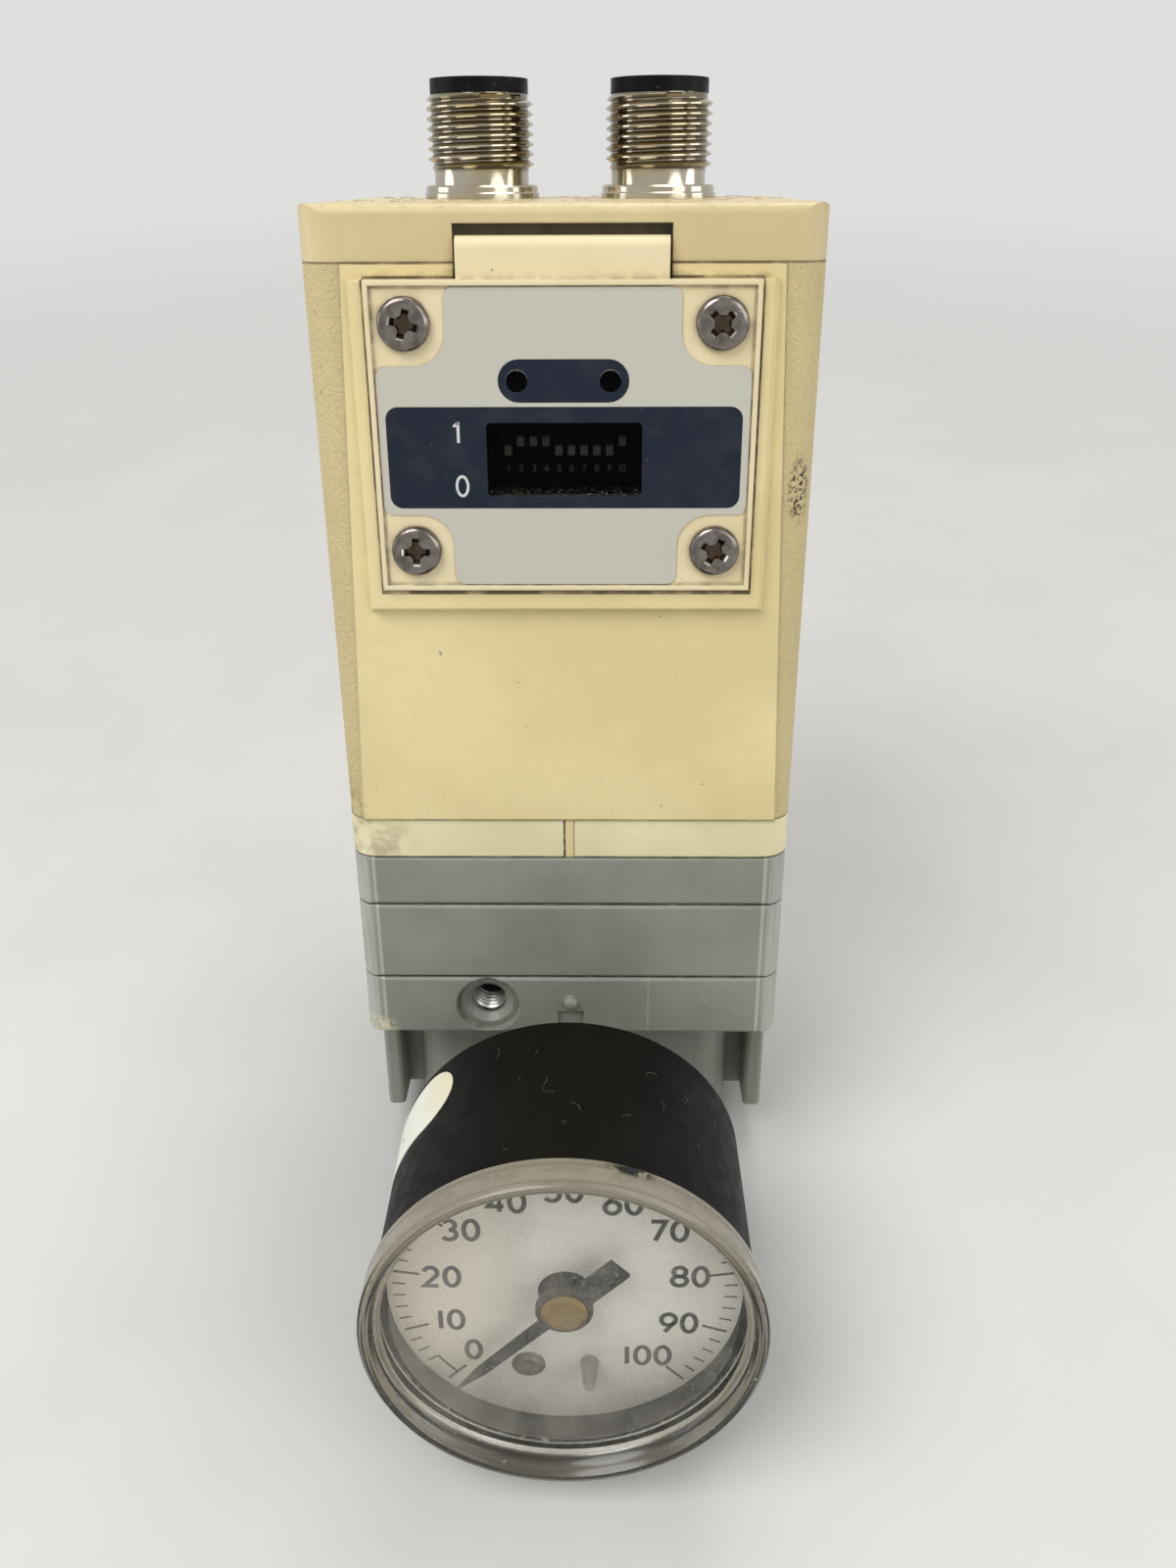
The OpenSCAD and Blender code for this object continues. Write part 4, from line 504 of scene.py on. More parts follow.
def screw_finish():
    """Dark nickel screws: dirt and painted shade deep in the cross, and a painted highlight along its upper
    flanks.
    """
    f = Finish("screw_nickel")
    f.patches(0.9, srgb(134, 127, 122), srgb(100, 93, 88))
    aside = f.math("SUBTRACT", f.math("ABSOLUTE", f.axis(0)), SCREW_X)
    above = f.math("SUBTRACT", f.off(f.axis(2), SCREW_Z), SCREW_RISE)
    inside = f.spread(f.length(aside, above), 1.75, 1.65)
    depth = f.math("SUBTRACT", f.axis(1), SCREW_FRONT)
    # Dirt and painted shade, darker deeper in the cross.
    f.stain(srgb(66, 52, 38), inside, f.spread(depth, 0.16, 0.36), 0.85)
    # Painted highlight along the upper flanks of the cross.
    f.stain(srgb(244, 240, 232), inside, f.between(depth, 0.03, 0.16, 0.03))
    f.set(Metallic=1.0, Normal=f.bump(f.noise(3.0, 3), 0.015))
    return f.done(Roughness=f.sheen(1.5, 0.14, 0.3))


def case_finish():
    """Gauge case: matte black paint with dust and paint chips at its front edge."""
    f = Finish("case_paint")
    f.patches(0.12, BLACK_PAINT, srgb(19, 19, 17))
    f.stain(srgb(110, 106, 92), f.specks(2.6, 0.77, 0.82), 0.5)
    chip = f.times(f.along(1, *CASE_LIP), f.blots(1.1, 3, 0.6, 0.64))
    f.stain(BARE_METAL, chip, 0.8)
    f.set(Normal=f.bump(f.noise(3.4, 3, 0.6), 0.025), Metallic=f.times(chip, 0.8))
    return f.done(Roughness=f.sheen(0.5, 0.42, 0.56), Specular_IOR_Level=0.06)


def lens_finish():
    """Clear lens: dusty window with more haze on its left as painted light, scuffed rim with turned lines, a
    pale painted highlight line, and one black chip.
    """
    f = Finish("clear_lens")
    radius = f.length(f.axis(0), f.math("SUBTRACT", f.axis(2), GAUGE_Z))
    rim = f.times(f.spread(radius, *LENS_RIM_R), f.along(1, *LENS_RIM_Y))
    foot = f.along(2, GAUGE_Z - 6, GAUGE_Z - 17, 0.0, 0.04)
    # More haze towards the left of the window: painted light from the left.
    left = f.along(0, -4, -16, 0.0, 0.1)
    veil = f.spread(f.noise(0.22, 5, 0.65), 0.35, 0.7, 0.03, 0.12)
    haze = f.math("ADD", veil, f.math("ADD", foot, left))
    field = f.blots(0.3, 3, 0.35, 0.62, 0.2, 0.9)
    grit = f.times(f.spread(f.noise(3.4, 3, 0.75), 0.56, 0.66), field)
    scuff = f.times(rim, f.spread(f.noise(1.5, 5, 0.7), 0.62, 0.7))
    window = f.along(1, *LENS_WINDOW_Y)
    dust = f.times(f.math("MAXIMUM", f.times(grit, 0.6), haze), f.spread(window, 0, 1, 0.25, 1.0))
    chip = f.times(f.near(*LENS_CHIP), f.blots(0.8, 3, 0.4, 0.46))
    worn = f.math("MAXIMUM", f.times(scuff, 0.6), chip)
    clear = f.times(rim, f.math("SUBTRACT", 1.0, worn), f.along(2, *LENS_HEAD, 1.0, 0.35))
    rings = f.times(f.math("SINE", f.times(radius, 14.0)), rim)
    film = f.mix(grit, DUST, srgb(140, 137, 130))
    glass = f.mix(f.along(2, *LENS_HEAD, 0.0, 0.5), srgb(172, 164, 145), srgb(112, 104, 90))
    turned = f.math("ADD", *(f.between(radius, *line) for line in LENS_DARK_LINES))
    glass = f.mix(f.times(turned, 0.7), glass, srgb(78, 73, 62))
    # Painted highlight: a pale line round the rim.
    glass = f.mix(f.times(f.between(radius, *LENS_HIGHLIGHT_LINE), 0.7), glass, srgb(216, 210, 196))
    f.tone = f.mix(chip, f.mix(rim, film, glass), BLACK)
    f.set(Alpha=f.math("MAXIMUM", dust, rim), IOR=1.49)
    f.set(Transmission_Weight=clear, Specular_IOR_Level=0.4, Normal=f.bump(rings, 0.012))
    return f.done(Roughness=f.spread(f.math("MAXIMUM", scuff, f.times(rim, 0.42)), 0, 1, 0.06, 0.42))


def dial_finish():
    """Dial: white paint, paler and warmer at its left as painted light, grayer towards its foot as painted
    shade.
    """
    f = Finish("dial_paint")
    f.patches(0.15, DIAL_WHITE, srgb(214, 211, 202))
    # Painted light: paler and warmer towards the left.
    f.stain(srgb(252, 242, 224), f.along(0, -3, -15, 0.0, 0.9))
    # Painted shade: grayer towards the foot of the dial.
    f.stain(srgb(150, 147, 140), f.along(2, GAUGE_Z - 2, GAUGE_Z - 19), 0.75)
    f.stain(INK, f.specks(4.2, 0.76, 0.8), 0.35)
    return f.done(Roughness=0.5, Normal=f.bump(f.noise(3.0, 2), 0.003))


def soft_finish(name, base, shade, rough, grain, gloss=0.3):
    """Plain dark or pale plastic, rubber, ink and paint."""
    f = Finish(name)
    f.patches(0.6, base, shade)
    f.stain(srgb(120, 114, 98), f.specks(3.0, 0.72, 0.77), 0.4)
    f.set(Normal=f.bump(f.noise(2.8, 3), grain), Specular_IOR_Level=gloss)
    return f.done(Roughness=f.sheen(0.8, rough - 0.05, rough + 0.1))


def sticker_finish():
    """Sticker: white paper, yellowed at its upper end."""
    f = Finish("sticker_paper")
    f.tone = srgb(232, 232, 222)
    f.stain(srgb(226, 216, 176), f.near(*STICKER_AGED), 0.6)
    f.stain(srgb(206, 202, 188), f.blots(0.9, 4, 0.5, 0.8, 0.0, 0.3))
    return f.done(Roughness=0.45, Normal=f.bump(f.noise(2.2, 3), 0.006))


NODE_FINISHES = [
    (cast_finish(), ["port_body", "mid_body", "pilot_body"]),
    (band_finish(), ["base_plate"]),
    (cover_finish(), ["cover"]),
    (cap_finish(), ["cap"]),
    (plate_finish(), ["switch_cover"]),
    (film_finish("label_film", FILM, 0.34), ["front_label"]),
    (window_finish(), ["window_pane"]),
    (film_finish("indicator_smoke", srgb(3, 3, 4), 0.24, 0.0, 0.03), ["indicator_lenses"]),
    (screw_finish(), ["cover_screws"]),
    (metal_finish("zinc_steel", STEEL, DARK_STEEL, 0.34),
     ["stack_screws", "valve_spring", "supply_plunger", "exhaust_plunger", "movement_link"]),
    (metal_finish("dull_rivet", srgb(120, 118, 112), srgb(92, 90, 86), 0.42), ["dial_rivet"]),
    (shell_finish(), ["left_connector_shell", "right_connector_shell", "connector_nuts"]),
    (soft_finish("black_nylon", srgb(6, 6, 7), srgb(12, 11, 13), 0.4, 0.006, 0.1),
     ["left_connector_insert", "right_connector_insert", "dip_switch_body"]),
    (metal_finish("gold_contact", GOLD, BRASS, 0.25), ["left_connector_pins", "right_connector_pins"]),
    (soft_finish("board_green", BOARD, srgb(26, 76, 52), 0.35, 0.02), ["control_board", "switch_board"]),
    (soft_finish("lever_white", WHITE, srgb(220, 218, 206), 0.4, 0.01),
     ["dip_lever_%d" % number for number in range(1, 11)]),
    (soft_finish("led_clear", srgb(206, 222, 206), WHITE, 0.2, 0.005), ["status_leds"]),
    (soft_finish("coil_dark", srgb(66, 66, 70), srgb(50, 50, 54), 0.45, 0.03),
     ["supply_solenoid", "exhaust_solenoid"]),
    (metal_finish("bare_aluminium", ALUMINIUM, STEEL, 0.36), ["pressure_sensor", "diaphragm_hub"]),
    (soft_finish("black_rubber", RUBBER, srgb(36, 36, 36), 0.62, 0.03),
     ["pilot_diaphragm", "feedback_diaphragm", "guide_seal"]),
    (metal_finish("turned_brass", BRASS, BRASS_SHADE, 0.34),
     ["valve_poppet", "valve_guide", "gauge_stem", "pinion_shaft", "bourdon_tube", "movement_frame",
      "sector_gear"]),
    (metal_finish("dull_brass", srgb(160, 132, 74), srgb(140, 114, 62), 0.38, stain=0.2), ["pointer_hub"]),
    (case_finish(), ["gauge_case"]),
    (lens_finish(), ["gauge_lens"]),
    (dial_finish(), ["gauge_dial"]),
    (soft_finish("stop_plastic", srgb(140, 135, 124), srgb(120, 116, 106), 0.3, 0.01), ["stop_pin"]),
    (soft_finish("pointer_black", srgb(26, 25, 24), srgb(44, 42, 40), 0.5, 0.02), ["gauge_pointer"]),
]
for finish, nodes in NODE_FINISHES:
    for node in nodes:
        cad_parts[node].data.materials.clear()
        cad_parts[node].data.materials.append(finish)


def finish_of(node):
    """Finish that a node has been given."""
    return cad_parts[node].data.materials[0]


def add_object(name, data):
    """Object with a mesh, lamp or camera, in the scene."""
    made = bpy.data.objects.new(name, data)
    bpy.context.scene.collection.objects.link(made)
    return made


def add_mesh(name, shape, finish):
    """Mesh object from a bmesh in millimetres."""
    mesh = bpy.data.meshes.new(name)
    shape.to_mesh(mesh)
    shape.free()
    mesh.transform(Matrix.Scale(MM, 4))
    mesh.materials.append(finish)
    return add_object(name, mesh)


def add_piece(name, shape, finish, smooth=None, body="housing"):
    """Piece from a bmesh in millimetres, riding on a body, or on none."""
    bmesh.ops.remove_doubles(shape, verts=shape.verts, dist=1e-5)
    bmesh.ops.recalc_face_normals(shape, faces=shape.faces)
    piece = add_mesh(name, shape, finish)
    if smooth is not None:
        piece.data.polygons.foreach_set("use_smooth", [True] * len(piece.data.polygons))
        piece.data.set_sharp_from_angle(angle=radians(smooth))
    if body:
        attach(piece, body)
    return piece


def add_bands(shape, rings):
    """Faces between neighbouring closed rings of points."""
    for here, there in zip(rings, rings[1:]):
        for k in range(len(here)):
            shape.faces.new((here[k - 1], here[k], there[k], there[k - 1]))


def add_tube(shape, rings):
    """The same, with both ends closed."""
    add_bands(shape, rings)
    shape.faces.new(rings[0])
    shape.faces.new(rings[-1])


def arc(x, y, rx, ry, start, end, steps=12):
    """Points along an ellipse from one angle to another, in degrees."""
    turns = [radians(start + (end - start) * k / steps) for k in range(steps + 1)]
    return [(x + rx * cos(t), y + ry * sin(t)) for t in turns]


def circle(x, y, radius, steps):
    """Closed ring of points."""
    return arc(x, y, radius, radius, 0, 360, steps)[:-1]


def rounded_outline(width, low, high, radius):
    """Closed outline of a rectangle with round corners, from one height to another."""
    points = []
    for corner, (sx, sy) in enumerate([(1, 1), (-1, 1), (-1, -1), (1, -1)]):
        centre = (sx * (width / 2 - radius), (low + high) / 2 + sy * ((high - low) / 2 - radius))
        points += arc(*centre, radius, radius, 90 * corner, 90 * corner + 90, 6)
    return points


def front_place(front, level=0.0):
    """Maps (x, z, height) onto a plane that faces the front, with z counted from the level."""
    return lambda x, z, height: Vector((x, front - height, level + z))


def fill(shape, loops):
    """Flat faces inside the first closed loop of points, with the others as holes."""
    pairs = [(loop[k - 1], loop[k]) for loop in loops for k in range(len(loop))]
    edges = [shape.edges.get(pair) or shape.edges.new(pair) for pair in pairs]
    bmesh.ops.triangle_fill(shape, use_beauty=True, use_dissolve=False, edges=edges)


def add_sheet(shape, outlines, place, low, high):
    """Thin plate from an outer outline and any holes in it."""
    rings = []
    for level in (low, high):
        rings.append([[shape.verts.new(place(*point, level)) for point in outline] for outline in outlines])
        fill(shape, rings[-1])
    for pair in zip(*rings):
        add_bands(shape, pair)


def add_stroke(shape, points, width, place, low, high):
    """Flat ribbon along points; it closes on itself where the last point is the first."""
    closed = dist(points[0], points[-1]) < 1e-6
    line = [Vector(point) for point in (points[:-1] if closed else points)]
    count = len(line)
    rings = []
    for k, point in enumerate(line):
        ways = []
        if closed or k > 0:
            ways.append((point - line[k - 1]).normalized())
        if closed or k < count - 1:
            ways.append((line[(k + 1) % count] - point).normalized())
        way = sum(ways, Vector((0, 0))).normalized()
        across = Vector((-way.y, way.x)) * width / 2 / max(0.5, way.dot(ways[0]))
        one, other = point + across, point - across
        corners = ((one, low), (other, low), (other, high), (one, high))
        rings.append([shape.verts.new(place(c.x, c.y, level)) for c, level in corners])
    if closed:
        add_bands(shape, rings + rings[:1])
    else:
        add_tube(shape, rings)


# Strokes of the numerals in a box of height 1, with the middle of each at GLYPH_MID
GLYPH_MID = 0.31
STROKES = {
    "0": [arc(0.31, 0.5, 0.29, 0.5, 0, 360, 28)],
    "1": [[(0.31, 0.0), (0.31, 1.0)]],
    "2": [arc(0.3, 0.71, 0.28, 0.29, 165, -35) + [(0.02, 0.0), (0.6, 0.0)]],
    "3": [arc(0.29, 0.75, 0.25, 0.25, 150, -90), arc(0.29, 0.26, 0.29, 0.26, 90, -150)],
    "4": [[(0.47, 0.0), (0.47, 1.0), (0.02, 0.27), (0.64, 0.27)]],
    "5": [[(0.55, 1.0), (0.17, 1.0), (0.09, 0.55)] + arc(0.29, 0.31, 0.3, 0.31, 128, -150)],
    "6": [arc(0.31, 0.31, 0.3, 0.31, 0, 360, 24), [(0.05, 0.44), (0.45, 1.0)]],
    "7": [[(0.02, 1.0), (0.6, 1.0), (0.2, 0.0)]],
    "8": [arc(0.31, 0.75, 0.25, 0.25, 0, 360, 20), arc(0.31, 0.26, 0.3, 0.26, 0, 360, 20)],
    "9": [arc(0.31, 0.69, 0.3, 0.31, 0, 360, 24), [(0.57, 0.56), (0.17, 0.0)]],
}
GLYPH_PITCH = 0.86
NARROW = {"1": 0.5}


def add_number(shape, text, x, z, height, weight, place, low, high):
    """Upright number centred on x and z."""
    pitch = GLYPH_PITCH * height
    widths = [NARROW.get(mark, 1.0) * pitch for mark in text]
    left = x - sum(widths) / 2
    for mark, width in zip(text, widths):
        start = left + width / 2 - GLYPH_MID * height
        for stroke in STROKES[mark]:
            points = [(start + height * u, z - height / 2 + height * v) for u, v in stroke]
            add_stroke(shape, points, weight, place, low, high)
        left += width


# Dial print: ticks along the scale, a bracket at its start and numbers inside it
PRINT_T = 0.03
SCALE_START, SCALE_SWEEP = 225.0, 270.0
TICK_OUTER = 17.7
MAJOR_INNER, MAJOR_W = 15.0, 0.3
MINOR_INNER, MINOR_W = 16.4, 0.2
BRACKET_R, BRACKET_W, BRACKET_END = 16.3, 0.22, 4
NUMBER_H, NUMBER_W = 2.5, 0.5
NUMBERS = [(-9.7, -8.3), (-11.9, -4.0), (-12.6, 2.0), (-10.4, 8.3), (-5.7, 12.0), (0.0, 13.4),
           (5.9, 11.8), (10.5, 8.3), (12.8, 2.2), (11.8, -4.3), (8.6, -9.0)]


def on_scale(value, radius):
    """Place of a scale value at a radius from the dial's middle."""
    angle = radians(SCALE_START - SCALE_SWEEP * value / 100)
    return radius * cos(angle), radius * sin(angle)


def dial_print(finish):
    """Scale and numbers of the dial; the bracket takes the place of the tick at 2."""
    shape = bmesh.new()
    place = front_place(DIAL_FRONT, GAUGE_Z)
    for value in [0] + list(range(4, 101, 2)):
        inner, width = (MINOR_INNER, MINOR_W) if value % 10 else (MAJOR_INNER, MAJOR_W)
        tick = [on_scale(value, inner), on_scale(value, TICK_OUTER)]
        add_stroke(shape, tick, width, place, 0, PRINT_T)
    bracket = [on_scale(BRACKET_END * k / 8, BRACKET_R) for k in range(9)]
    add_stroke(shape, bracket, BRACKET_W, place, PRINT_T, 2 * PRINT_T)
    for step, (x, z) in enumerate(NUMBERS):
        add_number(shape, str(10 * step), x, z, NUMBER_H, NUMBER_W, place, 0, PRINT_T)
    add_piece("dial_print", shape, finish)


# Label print: dark field round the window, dark pill round the indicators, two white numerals
FIELD_W, FIELD_LOW, FIELD_HIGH, FIELD_R = 34.6, 83.3, 93.1, 1.2
PILL_W, PILL_LOW, PILL_HIGH = 12.6, 93.5, 97.5
WINDOW_R = 0.5
LED_X, LED_R = 4.5, 1.05
FILM_T = 0.025
ONE = {"x": -10.3, "z": 90.7, "height": 2.0, "weight": 0.28}
ONE_FLAG, ONE_FLAG_W = [(-10.75, 91.25), (-10.3, 91.6)], 0.24
ZERO = {"x": -10.1, "z": 85.5, "height": 1.9, "weight": 0.26}
BANK_NUMERAL = {"z": 86.6, "height": 0.62, "weight": 0.09}


def label_print(field, white):
    """Dark fields and white numerals on the label."""
    place = front_place(LABEL_FRONT)
    shape = bmesh.new()
    window = rounded_outline(PANE_HIGH.x - PANE_LOW.x, PANE_LOW.z, PANE_HIGH.z, WINDOW_R)
    outer = rounded_outline(FIELD_W, FIELD_LOW, FIELD_HIGH, FIELD_R)
    add_sheet(shape, [outer, window], place, 0, FILM_T)
    pill = rounded_outline(PILL_W, PILL_LOW, PILL_HIGH, (PILL_HIGH - PILL_LOW) / 2 - 0.01)
    holes = [circle(side * LED_X, (PILL_LOW + PILL_HIGH) / 2, LED_R, 24) for side in (-1, 1)]
    add_sheet(shape, [pill] + holes, place, 0, FILM_T)
    add_piece("label_fields", shape, field)
    layer = {"place": place, "low": FILM_T, "high": 2 * FILM_T}
    shape = bmesh.new()
    add_number(shape, "1", **ONE, **layer)
    add_stroke(shape, ONE_FLAG, ONE_FLAG_W, **layer)
    add_number(shape, "0", **ZERO, **layer)
    add_piece("label_numerals", shape, white)


def bank_numerals(white):
    """Small numerals under the levers of the switch bank."""
    shape = bmesh.new()
    place = front_place(BANK_FRONT)
    for number in range(1, 11):
        low, high = box_mm("dip_lever_%d" % number)
        add_number(shape, str(number), (low.x + high.x) / 2, **BANK_NUMERAL, place=place, low=0, high=FILM_T)
    add_piece("bank_numerals", shape, white)


# Connector thread: radii, pitch, height of its start above the cap, and one ridge as shares of the pitch
CREST_R, ROOT_R, BORE_R = 5.95, 5.36, 4.75
SHELL_PITCH = 1.0
THREAD_START = 3.0
SHELL_STEPS = 96
RIDGE = [(0.0, ROOT_R), (0.14, ROOT_R), (0.46, CREST_R), (0.6, CREST_R)]


def connector_shell(side, finish):
    """Connector shell with a helical thread; its plain forms are those of the node it stands for."""
    node = side + "_connector_shell"
    low, high = box_mm(node)
    x, y = (low.x + high.x) / 2, (low.y + high.y) / 2
    flange = (high.x - low.x) / 2
    start, end = CAP_TOP + THREAD_START, high.z
    plain = [(BORE_R, high.z), (BORE_R, low.z), (CREST_R, low.z), (CREST_R, CAP_TOP), (flange, CAP_TOP)]
    plain += [(radius, CAP_TOP + rise) for radius, rise in (
        (flange, 0.55), (flange - 0.15, 0.7), (flange - 0.15, 1.2), (flange - 0.35, 1.4),
        (ROOT_R - 0.02, 1.45), (ROOT_R - 0.06, 2.2), (ROOT_R, THREAD_START))]
    turns = int((end - start) / SHELL_PITCH) + 2
    shape = bmesh.new()
    rings = []
    for k in range(SHELL_STEPS + 1):
        angle = 2 * pi * (k % SHELL_STEPS) / SHELL_STEPS
        ring = list(plain)
        for turn in range(-1, turns):
            for share, radius in RIDGE:
                z = start + (turn + share + k / SHELL_STEPS) * SHELL_PITCH
                run_out = min(1.0, max(0.0, (end - 0.1 - z) / 0.5))
                run_in = min(1.0, max(0.0, (z - start) / 0.4))
                r = ROOT_R + (radius - ROOT_R) * min(run_in, run_out)
                ring.append((r, min(max(z, start), end)))
        ring.append((ROOT_R, end))
        c, s = cos(angle), sin(angle)
        rings.append([shape.verts.new((x + r * c, y + r * s, z)) for r, z in ring])
    add_bands(shape, rings)
    piece = add_piece(side + "_thread_shell", shape, finish, smooth=32)
    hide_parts(node)


def thread_ridge(name, centre, axis, across, radius, depth, pitch, height, finish):
    """Helical ridge on the wall of a tapped hole, running inward along the axis."""
    steps = 40
    rows = int(depth / pitch * steps)
    shape = bmesh.new()
    up = axis.cross(across)
    section = [(0.03, -0.46), (-height, -0.1), (-height, 0.1), (0.03, 0.46)]
    rings = []
    for k in range(rows + 1):
        angle = 2 * pi * k / steps
        fade = min(1.0, k / steps, (rows - k) / steps) * 0.9 + 0.1
        out = across * cos(angle) + up * sin(angle)
        along = centre + axis * (0.5 * pitch + (depth - pitch) * k / rows)
        places = [(radius + (r if r > 0 else r * fade), w * pitch) for r, w in section]
        rings.append([shape.verts.new(along + out * reach + axis * shift) for reach, shift in places])
    add_tube(shape, rings)
    add_piece(name, shape, finish, smooth=40)


# Valve spring: wire radius, turns, and points on a turn and round the wire
WIRE_R, COIL_TURNS, COIL_STEPS, WIRE_SIDES = 0.35, 3.5, 32, 10


def valve_coil(finish):
    """Valve spring: a coil of round wire that takes the place of its node."""
    low, high = box_mm("valve_spring")
    mean = (high.x - low.x) / 2 - WIRE_R
    foot, head = low.z + WIRE_R, high.z - WIRE_R
    steps = int(COIL_TURNS * COIL_STEPS)
    section = circle(mean, 0, WIRE_R, WIRE_SIDES)
    shape = bmesh.new()
    rings = []
    for k in range(steps + 1):
        angle = 2 * pi * k / COIL_STEPS
        z = foot + (head - foot) * k / steps
        rings.append([shape.verts.new((r * cos(angle), r * sin(angle), z + up)) for r, up in section])
    add_tube(shape, rings)
    piece = add_piece("valve_coil", shape, finish, smooth=40)
    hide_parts("valve_spring")
    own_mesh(piece)


# Diaphragms: radius of the post's hole, and radii of hub plate and chamber wall, between which each flexes
POST_HOLE_R = 3.06
FLEX = {"pilot_diaphragm": (13.0, 14.5), "feedback_diaphragm": (12.0, 14.5)}
WEDGES, FLEX_STEPS, WEDGE_STEPS = 12, 10, 4


def diaphragm_wedges(node, finish):
    """Diaphragm in equal flat wedges, ringed finely between the hub plate and the chamber wall."""
    low, high = box_mm(node)
    plate_r, wall_r = FLEX[node]
    half = pi / WEDGES
    radii = [POST_HOLE_R, plate_r]
    radii += [plate_r + (wall_r - plate_r) * (k + 1) / FLEX_STEPS for k in range(FLEX_STEPS)]
    radii.append((high.x - low.x) / 2)
    for wedge in range(WEDGES):
        middle = 2 * half * wedge
        angles = [middle - half + 2 * half * k / WEDGE_STEPS for k in range(WEDGE_STEPS + 1)]
        shape = bmesh.new()
        grids = [[[shape.verts.new((r * cos(a), r * sin(a), z)) for a in angles] for r in radii]
                 for z in (low.z, high.z)]
        rims = []
        for grid in grids:
            for here, there in zip(grid, grid[1:]):
                for k in range(WEDGE_STEPS):
                    shape.faces.new((here[k], here[k + 1], there[k + 1], there[k]))
            sides = [row[-1] for row in grid[1:-1]] + grid[-1][::-1] + [row[0] for row in grid[-2:0:-1]]
            rims.append(grid[0] + sides)
        add_bands(shape, rims)
        name = "%s_wedge_%d" % (node, wedge + 1)
        piece = add_piece(name, shape, finish, smooth=40, body=None)
        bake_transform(piece)
        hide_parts(node)


# Small screws: turn of each by its side and height, the cross, and the profile as radius and depth
SCREW_TURNS = {(-1, 1): -15, (1, 1): -45, (-1, -1): 0, (1, -1): -30}
CROSS_ARM, CROSS_HALF, CROSS_DEPTH, CROSS_TAPER, CROSS_FILLET = 1.46, 0.36, 0.66, 0.62, 0.4
SHANK_R = 1.45
SCREW_DOME = [(2.0, 0.0), (2.28, 0.1), (2.44, 0.28), (SCREW_R, 0.5)]
SCREW_SEAT = PLATE_LOW.y + 0.35 - SCREW_FRONT
SCREW_STEPS = 48


def cover_screws(finish):
    """Pan heads with a tapered cross, each at its own angle, over plain shanks."""
    profile = SCREW_DOME + [(SCREW_R, SCREW_SEAT), (SHANK_R, SCREW_SEAT)]
    profile.append((SHANK_R, SCREW_HIGH.y - SCREW_FRONT))
    shape = bmesh.new()
    for (sx, sz), turn in SCREW_TURNS.items():
        c, s = cos(radians(turn)), sin(radians(turn))
        x, z = sx * SCREW_X, SCREW_Z + sz * SCREW_RISE

        def ring(points, back):
            places = [(x + u * c - v * s, SCREW_FRONT + back, z + u * s + v * c) for u, v in points]
            return [shape.verts.new(place) for place in places]

        loops = [ring(circle(0, 0, radius, SCREW_STEPS), back) for radius, back in profile]
        add_bands(shape, loops)
        shape.faces.new(loops[-1])
        crosses = []
        for share, back in ((1.0, 0.0), (CROSS_TAPER, CROSS_DEPTH)):
            a, b = CROSS_ARM * share, CROSS_HALF * (0.5 + 0.5 * share)
            f = b + CROSS_FILLET * share
            points = []
            for quarter in range(4):
                q = radians(90 * quarter)
                for u, v in ((a, -b), (a, b), (f, b), (b, f)):
                    points.append((u * cos(q) - v * sin(q), u * sin(q) + v * cos(q)))
            crosses.append(ring(points, back))
        add_bands(shape, crosses)
        shape.faces.new(crosses[1])
        fill(shape, (loops[0], crosses[0]))
    piece = add_piece("cross_screws", shape, finish, smooth=35)
    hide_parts("cover_screws")


# Sticker: angle of its middle round the case, in degrees, its place along the case, and its sizes
STICKER_ANGLE, STICKER_Y = 160.0, -42.6
STICKER_L, STICKER_W, STICKER_T, STICKER_GAP = 21.0, 8.4, 0.08, 0.01


def sticker(finish):
    """Bare oblong sticker, curved round the left of the gauge case."""
    end_r = STICKER_W / 2
    ends = STICKER_L / 2 - end_r
    outline = arc(ends, 0, end_r, end_r, -90, 90, 16)
    outline += [(ends * (1 - k / 8), end_r) for k in range(1, 16)]
    outline += arc(-ends, 0, end_r, end_r, 90, 270, 16)
    outline += [(ends * (k / 8 - 1), -end_r) for k in range(1, 16)]
    shape = bmesh.new()
    layers = []
    for lift in (STICKER_GAP, STICKER_T):
        r = CASE_R + lift
        rings = []
        for share in (0.2, 0.4, 0.6, 0.8, 0.93, 1.0):
            turns = [(radians(STICKER_ANGLE) - u * share / CASE_R, v * share) for u, v in outline]
            rings.append([shape.verts.new((r * cos(t), STICKER_Y + v, GAUGE_Z + r * sin(t)))
                          for t, v in turns])
        add_bands(shape, rings)
        shape.faces.new(rings[0])
        layers.append(rings[-1])
    add_bands(shape, layers)
    add_piece("case_sticker", shape, finish, smooth=40)


# Lint: seed, fibres on the cap and the case, their radii and areas, and the clear ring round each connector
LINT_SEED = 7
CAP_FIBRES, CAP_FIBRE_R = 90, 0.025
CASE_FIBRES, CASE_FIBRE_R = 16, 0.01
CAP_AREA, CAP_EDGE = ((-23, 23), (-21, 23)), 24
CASE_AREA = ((35, 145), (-58, -40))
LINT_CENTRE, LINT_CLEAR = (10, 7), 6.9
FIBRE_STEPS = 6


def add_fibre(shape, points, radius):
    """Thin hair through points: four sides, narrow ends."""
    rings = []
    for k, point in enumerate(points):
        way = (points[min(k + 1, len(points) - 1)] - points[max(k - 1, 0)]).normalized()
        across = way.orthogonal().normalized()
        up = way.cross(across)
        r = radius * (0.35 if k in (0, len(points) - 1) else 1.0)
        sides = ((1, 0), (0, 1), (-1, 0), (0, -1))
        rings.append([shape.verts.new(point + across * r * a + up * r * b) for a, b in sides])
    add_tube(shape, rings)


